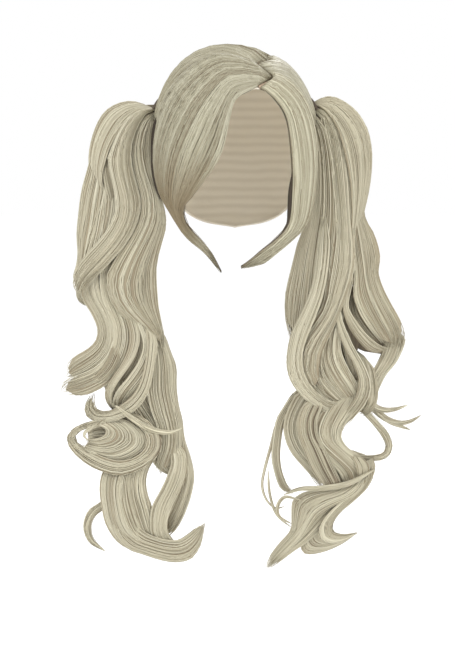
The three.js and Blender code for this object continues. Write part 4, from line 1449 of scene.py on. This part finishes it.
             (296, 532), (285, 545), (274, 557), (265, 567)]),
            ((10, 16, 18, 18, 16, 10), [(378, 454), (374, 474), (365, 490), (350, 503), (336, 515),
             (322, 529), (306, 543), (290, 554), (272, 569)]),
        ]),
        (True, [
            ((16, 20, 20, 18, 12), [(377, 466), (367, 487), (353, 501), (340, 512), (332, 523), (332, 532),
             (343, 535), (358, 532)]),
            ((22, 26, 24, 20, 12), [(362, 476), (350, 494), (336, 506), (325, 518), (319, 530), (323, 541),
             (338, 543), (357, 534)]),
        ]),
        (True, [
            ((16, 18, 16, 14), [(346, 496), (331, 512), (323, 524), (324, 533), (333, 537), (344, 537),
             (357, 533)]),
            ((12, 14, 14, 12), [(320, 508), (309, 524), (301, 540), (304, 553), (319, 553), (340, 545),
             (358, 533)]),
        ]),
    ],
}
# painted shade: dark brown sheets behind, coloured as hair in shadow
FILLING_SHEETS = {  # hair in the shadow behind, seen only where the other sheets part
    "right": [
        [((10, 12, 14), [(145, 107), (124, 116), (112, 150), (104, 190), (97, 230), (90, 262)]),
         ((8, 10, 12), [(158, 112), (153, 122), (146, 150), (140, 190), (132, 230), (120, 266)])],
        [((4, 6, 8, 8), [(86, 272), (96, 296), (106, 320), (110, 342), (112, 362), (108, 382)]),
         ((6, 8, 10, 8), [(126, 276), (134, 300), (140, 324), (142, 346), (140, 370), (134, 398)]),
         ((6, 8, 10, 8), [(154, 280), (156, 304), (160, 330), (163, 352), (166, 376), (168, 400)])],
        [((4, 4, 4), [(106, 388), (112, 402), (118, 418), (130, 440)]),
         ((4, 4, 4), [(168, 380), (170, 402), (176, 424), (180, 450)])],
    ],
    "left": [
        [((10, 14, 14), [(312, 118), (314, 150), (316, 190), (312, 230), (304, 262), (296, 290)]),
         ((10, 16, 16), [(330, 118), (338, 150), (342, 190), (342, 230), (338, 262), (332, 290)])],
        [((10, 12, 12, 10), [(300, 270), (296, 300), (302, 330), (304, 360), (310, 384), (326, 404)]),
         ((12, 14, 14, 12), [(334, 270), (332, 300), (336, 330), (340, 352), (346, 374), (352, 396)]),
         ((10, 12, 12, 8), [(352, 270), (352, 296), (358, 320), (360, 342), (354, 360), (352, 392)])],
        [((8, 8, 6), [(346, 290), (352, 318), (356, 340), (356, 357)]),
         ((7, 7, 5), [(364, 290), (374, 322), (380, 342), (383, 357)]),
         ((6, 6, 4), [(378, 290), (392, 320), (399, 340), (396, 366)])],
        [((8, 8, 8), [(296, 408), (296, 424), (298, 444), (306, 466), (318, 488)]),
         ((8, 8, 8), [(348, 404), (338, 424), (334, 444), (350, 466), (366, 488)])],
    ],
}
# painted shadow: sheets of darker hair put where the hollows of the waves lie in shade
PAINTED_SHADOW_SHEETS = {  # darker hair in the hollows of the waves
    "right": [
        [((12, 18, 19, 17), [(106, 150), (103, 164), (104, 180), (108, 196), (111, 214)]),
         ((12, 18, 19, 17), [(110, 148), (110, 164), (114, 180), (117, 196), (117, 212)])],
        [((22, 26, 28, 25, 15), [(111, 320), (112, 344), (106, 362), (96, 374), (80, 384)]),
         ((22, 26, 28, 25, 15), [(120, 322), (123, 348), (117, 367), (105, 381), (86, 392)])],
        [((24, 30, 30, 25), [(124, 312), (135, 334), (136, 352), (128, 368), (116, 386)]),
         ((24, 30, 30, 25), [(138, 310), (148, 334), (149, 352), (144, 368), (132, 386)])],
        [((28, 33.5, 32, 27), [(138, 420), (149, 433), (151, 446), (142, 457), (126, 463)]),
         ((28, 33.5, 32, 27), [(148, 420), (160, 435), (160, 450), (149, 462), (130, 469)])],
    ],
    "left": [
        [((32, 36, 34, 31, 28), [(308, 396), (298, 418), (298, 434), (304, 450), (311, 467), (320, 482),
          (327, 493)]),
         ((32, 36, 34, 31, 28), [(328, 398), (318, 420), (319, 436), (326, 450), (333, 465), (340, 480),
          (345, 491)])],
        [((16, 20, 20, 18), [(350, 292), (350, 310), (359, 328), (372, 343)]),
         ((16, 20, 20, 18), [(362, 290), (364, 312), (376, 330), (389, 345)])],
        [((24, 27, 27, 25), [(336, 326), (343, 348), (348, 366), (354, 384)]),
         ((24, 27, 27, 25), [(346, 326), (353, 346), (359, 364), (364, 382)])],
        [((29, 31, 27), [(350, 455), (356, 466), (358, 479)]),
         ((29, 31, 27), [(362, 457), (369, 466), (368, 479)])],
    ],
}
# painted shadow: near-black sheets put where the gap between each tail and the head lies in deep shade
PAINTED_DEEP_SHADE_SHEETS = {  # the darkest hair, between each tail and the head
    "right": [
        ((34, 33, 33, 31, 27), [(158, 112), (153, 124), (151, 140), (150.6, 156), (151.6, 172), (155, 188),
         (164, 207)]),
        ((34, 33, 33, 31, 27), [(163, 112), (158, 124), (156, 140), (155.6, 156), (156.6, 172), (160, 188),
         (169, 207)]),
    ],
    "left": [
        ((10, 12, 12, 10), [(306, 104), (307, 114), (308, 130), (308, 150), (309, 176)]),
        ((10, 12, 12, 10), [(322, 106), (321, 118), (319, 132), (317, 152), (316, 178)]),
    ],
}
SHEET_DEPTH = 1.15
WAVE_DEPTH = 3.5
WAVE_ROWS = 125
BACK_SHIFT = 1.2
BACK_WIDTH = 0.93
BACK_GAP = 4


# %% From guide lines to a surface


def tail_place(side_name, seen, forward, lift=0):
    """Points in mm for places of the photograph at a distance in front of the ties."""
    tie = root_of(TAILS[side_name]["side"])[0]
    drop = (seen[..., 1] - TIE_ROW) / PHOTO_SIZE[1]
    fade = eased(0, 0.06, drop)
    wave = WAVE_DEPTH * fade * np.sin(2 * np.pi * seen[..., 1] / WAVE_ROWS + 0.02 * seen[..., 0])
    middle = TAIL_FORWARD * drop / TAIL_DROP
    ahead = (forward - middle) * (1 + (SHEET_DEPTH - 1) * fade)
    return photo_point(seen, middle - tie[1] + ahead + wave + lift)


def waved_surface(side_name, guides, back):
    """Function that gives the points of a sheet at a place along it and a share of the way across it."""
    lines = []
    for forward, path in guides:
        path = np.array(path, float)
        length = np.concatenate([[0], np.cumsum(np.hypot(*np.diff(path, axis=0).T))])
        lines.append((length / length[-1], path, np.array(forward, float)))
    shift = random.uniform(-BACK_SHIFT, BACK_SHIFT, 2) if back else np.zeros(2)

    def surface(at, share, lift=0):
        at, share = np.broadcast_arrays(np.asarray(at, float), np.asarray(share, float))
        inside = np.clip(at, 0, 1)
        table = []
        for places, path, forward in lines:
            seen = through(places, path, inside)
            ahead = through(np.linspace(0, 1, len(forward)), forward, inside)
            table.append(np.concatenate([seen, ahead[..., None]], -1))
        if back:
            share = 0.5 + BACK_WIDTH * (share - 0.5)
        spot = through(np.linspace(0, 1, len(lines)), np.stack(table), share)
        seen, ahead = spot[..., :2], spot[..., 2]
        if back:
            seen = seen + shift
            centre = TAIL_FORWARD * (seen[..., 1] - TIE_ROW) / PHOTO_SIZE[1] / TAIL_DROP
            ahead = centre - BACK_GAP - np.abs(ahead - centre)
            lift = -lift
        return tail_place(side_name, seen, ahead, lift)

    middle = surface(np.full(2, 0.5), np.array([0, 1]))
    return surface, float(np.linalg.norm(middle[1] - middle[0]))


def closing(at):
    """Share of a sheet's full width: it opens over its first tenth, and its end is round."""
    at = np.asarray(at)
    opening = 0.4 + 0.6 * eased(-0.02, 0.1, at)
    return opening * np.sqrt(np.clip(1 - np.clip((at - 0.86) / 0.14, 0, 1) ** 2, 0.004, 1))


# %% Sheets with a wall, and the hairs on them
TIE_ROW = 108.5  # of the photograph, where the ties lie
TAIL_DROP = 0.68  # share of the photograph's height that the tails hang
SHEET_THICKNESS = 2.4
SHEET_RIB = 0.13
RIB_WIDTH = 4.5
HAIRS_PER_MM = {"front": 1.95, "back": 0.55}
STRAY_SHARE = 0.08
STRAY_SWAY = 0.07
SHEET_STATIONS = 20
# painted shadow: the tones of the hairs on the shadow sheets are lowered by this factor
PAINTED_SHADOW_TONE = 0.55


def add_waved_sheet(bm, surface, width, seed):
    """Adds a sheet's wall, ribbed along the hair, thin at its edges and round at its end."""
    def wall(front):
        def placed(at, share):
            inner = 0.5 + (share - 0.5) * closing(at)
            rib = np.sin(2 * np.pi * (share * width / RIB_WIDTH + 0.4 * np.sin(4 * at + seed)))
            broad = np.sin(2 * np.pi * (0.39 * share * width / RIB_WIDTH + seed))
            rib = rib * np.sin(3 * at + 5 * share + seed) + broad
            edge = np.sin(np.pi * np.clip(share, 0, 1)) ** 0.5 * closing(at)
            height = (SHEET_RIB * rib if front else -SHEET_THICKNESS) * edge
            return surface(at * 0.96, inner, height - 0.5)

        return placed

    across = int(np.clip(width / RIB_WIDTH * 3, 5, 26))
    add_slab(bm, wall(True), wall(False), across, 26, width)


def waved_hairs(side_name, surface, width, count, stations):
    """Middle lines, half axes, places along the tail and tones of the hairs of a sheet."""
    share = random.uniform(-0.03, 1.03, (count, 1))
    tone = clumped(share * width, 1.6)
    first = random.uniform(0, 0.03, (count, 1))
    last = random.uniform(0.9, 1.01, (count, 1))
    at = first + (last - first) * np.linspace(0, 1, stations)
    phase = random.uniform(0, 6.3, (count, 1))
    sway = random.uniform(0, 0.025, (count, 1))
    sway = sway + (random.uniform(0, 1, (count, 1)) < STRAY_SHARE) * STRAY_SWAY
    share = share + sway * np.sin(random.uniform(3, 7, (count, 1)) * at + phase)
    share = 0.5 + (share - 0.5) * np.maximum(closing(at - 0.02), 0.12)
    lift = random.uniform(-0.3, 0.4, (count, 1)) + 0.5 * tone[:, None] - 0.7 * np.abs(2 * share - 1) ** 4
    line = surface(at, share, lift)
    tie = root_of(TAILS[side_name]["side"])[0]
    run = unit(np.gradient(line, axis=1))
    front = unit(surface(at, share, lift + 1) - line)
    front = unit(front - run * (front * run).sum(-1, keepdims=True))
    size = 0.35 * random.uniform(0.7, 1.35, (count, 1)) * tapered(np.linspace(0, 1, stations)[None])
    wide = np.cross(run, front) * (1.5 * size)[..., None]
    steps = np.linalg.norm(np.diff(line, axis=1, prepend=line[:, :1]), axis=-1)
    reach = np.linalg.norm(line[:, :1] - tie, axis=-1) + np.cumsum(steps, axis=1)
    return line, wide, front * size[..., None], np.clip(reach / TAIL_LENGTH, 0, 1), tone


for side_name, rows in WAVED_SHEETS.items():
    bm = bmesh.new()
    tables = []
    for number, (twin, guides) in enumerate(rows):
        for layer in ("front", "back") if twin else ("front",):
            surface, width = waved_surface(side_name, guides, layer == "back")
            add_waved_sheet(bm, surface, width, number)
            count = int(width * HAIRS_PER_MM[layer]) + 8
            tables.append(waved_hairs(side_name, surface, width, count, SHEET_STATIONS))
    base = finished(bm, f"waved_sheets_{side_name}", painted_shade_under_finish)
    bm = bmesh.new()
    # painted shadow: sheets in the dark brown inner hair, with hairs of lowered tone
    for number, guides in enumerate(PAINTED_SHADOW_SHEETS[side_name]):
        surface, width = waved_surface(side_name, guides, False)
        add_waved_sheet(bm, surface, width, number)
        count = int(width * HAIRS_PER_MM["front"])
        *places, tone = waved_hairs(side_name, surface, width, count, SHEET_STATIONS)
        tables.append((*places, tone * PAINTED_SHADOW_TONE))
    shadow = finished(bm, f"painted_shadow_sheets_{side_name}", painted_shade_inner_finish)
    line, wide, thin, at, tint = (np.concatenate(table) for table in zip(*tables))
    hairs = hair_mesh(f"waved_hairs_{side_name}", line, wide, thin, 3, at, tint, tail_strand_finish)
    bm = bmesh.new()
    # painted shade: the filling sheets are dark brown
    for number, guides in enumerate(FILLING_SHEETS[side_name]):
        add_waved_sheet(bm, *waved_surface(side_name, guides, False), number)
    filling = finished(bm, f"filling_sheets_{side_name}", painted_shade_inner_finish)
    # painted shadow: the near-black sheet between the tail and the head
    bm = bmesh.new()
    add_waved_sheet(bm, *waved_surface(side_name, PAINTED_DEEP_SHADE_SHEETS[side_name], False), 0)
    shaded = finished(bm, f"shaded_sheet_{side_name}", painted_shade_finish)
    for piece in (base, shadow, hairs, filling, shaded):
        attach(piece, "root")
        print(piece.name, sum(len(face.vertices) - 2 for face in piece.data.polygons), "triangles")

# %% [markdown]
# ## Narrow locks
#
# Flicked ends, thin loops with open middles and stray wisps are too narrow for a sheet. Each row gives half
# the lock's width in mm, how far in front of the ties it starts and ends, and the places that its middle
# passes through. A lock is a flat tube that thins to its tip, with hairs round it that leave it a little.

# %% Narrow locks drawn over the photograph
NARROW_LOCKS = {
    "right": [
        (2.4, 40, 30, [(116, 406), (136, 421), (153, 430), (168, 432.5), (176, 431), (182, 428)]),
        (3.4, 6, 4, [(114, 482), (105, 503), (92, 513), (87, 526), (91, 540), (105, 551)]),
        (1.2, 30, 20, [(88, 440), (84, 436), (86, 431), (96, 426), (108, 424)]),
        (3.0, 8, 4, [(86, 281), (80.5, 289), (81, 298), (88, 306)]),
    ],
    "left": [
        (2.2, 16, 4, [(358, 376), (368, 398), (376, 407), (385, 410), (396, 409), (408, 405)]),
        (2.7, 12, 0, [(352, 374), (366, 398), (376, 411), (388, 420), (400, 423), (411, 421), (421, 415)]),
        (1.4, 8, 0, [(376, 412), (388, 421), (400, 426), (411, 430)]),
        (2.8, 16, 8, [(350, 390), (362, 408), (376, 423), (387, 438), (389, 448), (384, 456), (366, 458),
         (343, 457)]),
        (1.0, 14, 4, [(293, 393), (277, 423), (271, 446), (265, 468), (262, 486), (267, 501), (277, 509),
         (288, 504)]),
        (0.9, 8, 4, [(268, 470), (270, 495), (277, 515), (292, 528)]),
        (2.2, 32, 26, [(374, 470), (350, 483), (322, 488), (300, 489), (283, 495)]),
        (1.2, 22, 12, [(300, 500), (285, 497), (278, 505), (279, 516), (292, 524)]),
    ],
}
NARROW_STATIONS = 28
NARROW_HAIRS = 34


def narrow_locks(side_name):
    """Middle lines and half axes of the narrow locks, and their places along the tail."""
    tie = root_of(TAILS[side_name]["side"])[0]
    tables = []
    along = np.linspace(0, 1, NARROW_STATIONS)
    for half, first, last, path in NARROW_LOCKS[side_name]:
        path = np.array(path, float)
        length = np.concatenate([[0], np.cumsum(np.hypot(*np.diff(path, axis=0).T))])
        seen = through(length / length[-1], path, along)
        line = tail_place(side_name, seen, first + (last - first) * along)
        run = unit(np.gradient(line, axis=0))
        front = unit(np.array([0, -1, 0]) + run * run[:, 1:2])
        swell = np.minimum(0.35 + 0.65 * eased(0, 0.3, along), np.sqrt(np.clip((1 - along) / 0.5, 0.006, 1)))
        width = (half * swell)[:, None]
        tables.append((line, np.cross(run, front) * width, front * width * 0.5))
    middle, wide, thin = (np.stack(table) for table in zip(*tables))
    return middle, wide, thin, np.clip((tie[2] - middle[..., 2]) / TAIL_LENGTH, 0, 1)


def hairs_on(locks, per_lock, stations, radius, loose):
    """Hairs that follow locks: spread round each lock, a little apart from it and from each other."""
    middle, wide, thin, at = locks
    count = len(middle) * per_lock
    lock = np.repeat(np.arange(len(middle)), per_lock)
    last = random.uniform(0.86, 1, (count, 1))
    first = random.uniform(0, 0.03, (count, 1))
    place = first + (last - first) * np.linspace(0, 1, stations)[None]
    spot = place * (middle.shape[1] - 1)
    low = np.minimum(spot.astype(int), middle.shape[1] - 2)
    mix = (spot - low)[..., None]

    def read(table):
        return table[lock[:, None], low] * (1 - mix) + table[lock[:, None], low + 1] * mix

    line, across, height = read(middle), read(wide), read(thin)
    turn = random.uniform(0, 2 * np.pi, (count, 1))
    turn = turn + 0.35 * np.sin(random.uniform(4, 9, (count, 1)) * place + random.uniform(0, 6.3, (count, 1)))
    away = 1 + random.uniform(0, loose, (count, 1)) * (0.3 + place)
    line = line + across * (np.cos(turn) * away)[..., None] + height * (np.sin(turn) * away)[..., None]
    run = unit(np.gradient(line, axis=1))
    normal = across * (np.cos(turn) * 0.18)[..., None] + height * np.sin(turn)[..., None]
    normal = unit(normal - run * (normal * run).sum(-1, keepdims=True))
    size = radius * random.uniform(0.7, 1.3, (count, 1)) * tapered(np.linspace(0, 1, stations)[None])
    size = np.minimum(size, 0.4 * np.linalg.norm(across, axis=-1) + 0.12)
    wide = np.cross(run, normal) * (1.4 * size)[..., None]
    return line, wide, normal * size[..., None], read(at[..., None])[..., 0]


for side_name in TAILS:
    locks = narrow_locks(side_name)
    tint = random.uniform(0, 1, len(locks[0]))
    body = hair_mesh(f"narrow_locks_{side_name}", *locks[:3], 8, locks[3], tint, lock_finish)
    line, wide, thin, at = hairs_on(locks, NARROW_HAIRS, 20, 0.3, 0.6)
    tint = random.uniform(0, 1, len(line))
    hairs = hair_mesh(f"narrow_hairs_{side_name}", line, wide, thin, 3, at, tint, tail_strand_finish)
    for piece in (body, hairs):
        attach(piece, "root")
        print(piece.name, len(piece.data.polygons), "faces")

# %% [markdown]
# ## Floor and light
#
# The light is that of a plain product shot: a white surround, and large soft lights from the front left,
# the front right and behind that leave soft shade between the locks. The floor glows faintly, so that no
# horizon shows.

# %% Floor
FLOOR_DROP = 0.065
bm = bmesh.new()
bmesh.ops.create_grid(bm, x_segments=2, y_segments=2, size=14)
floor_material = bpy.data.materials.new("pale_floor")
floor_material.use_nodes = True
floor_shader = floor_material.node_tree.nodes["Principled BSDF"]
floor_shader.inputs["Base Color"].default_value = (0.9, 0.9, 0.9, 1)
floor_shader.inputs["Roughness"].default_value = 0.9
floor_shader.inputs["Emission Color"].default_value = (1, 1, 1, 1)
floor_shader.inputs["Emission Strength"].default_value = 0.13
bmesh.ops.translate(bm, verts=bm.verts, vec=(0, 0, cad_box[0][2] - FLOOR_DROP))
floor = finished(bm, "floor", floor_material, smooth=False)

# %% Lights
world = bpy.data.worlds.new("white_surround")
world.use_nodes = True
world.node_tree.nodes["Background"].inputs["Color"].default_value = (1, 1, 1, 1)
world.node_tree.nodes["Background"].inputs["Strength"].default_value = 1.0
bpy.context.scene.world = world
bpy.context.scene.view_settings.view_transform = "Standard"


def soft_light(name, place, size, power):
    data = bpy.data.lights.new(name, "AREA")
    data.shape = "SQUARE"
    data.size = size
    data.energy = power
    light = bpy.data.objects.new(name, data)
    light.location = place
    light.rotation_euler = (AIM - Vector(place)).to_track_quat("-Z", "Y").to_euler()
    bpy.context.scene.collection.objects.link(light)


soft_light("key_light", (-1.4, -1.8, 1.3), 1.2, 26)
soft_light("fill_light", (1.6, -1.6, 0.6), 1.4, 14)
soft_light("back_light", (0.4, 1.6, 1.4), 1.2, 16)
print("Lights:", len(bpy.data.lights))

# %% Finish
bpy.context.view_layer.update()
total = sum(
    len(face.vertices) - 2
    for piece in bpy.data.objects
    if piece.type == "MESH" and "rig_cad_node" not in piece
    for face in piece.data.polygons
)
print("Triangles that the scene adds:", total)
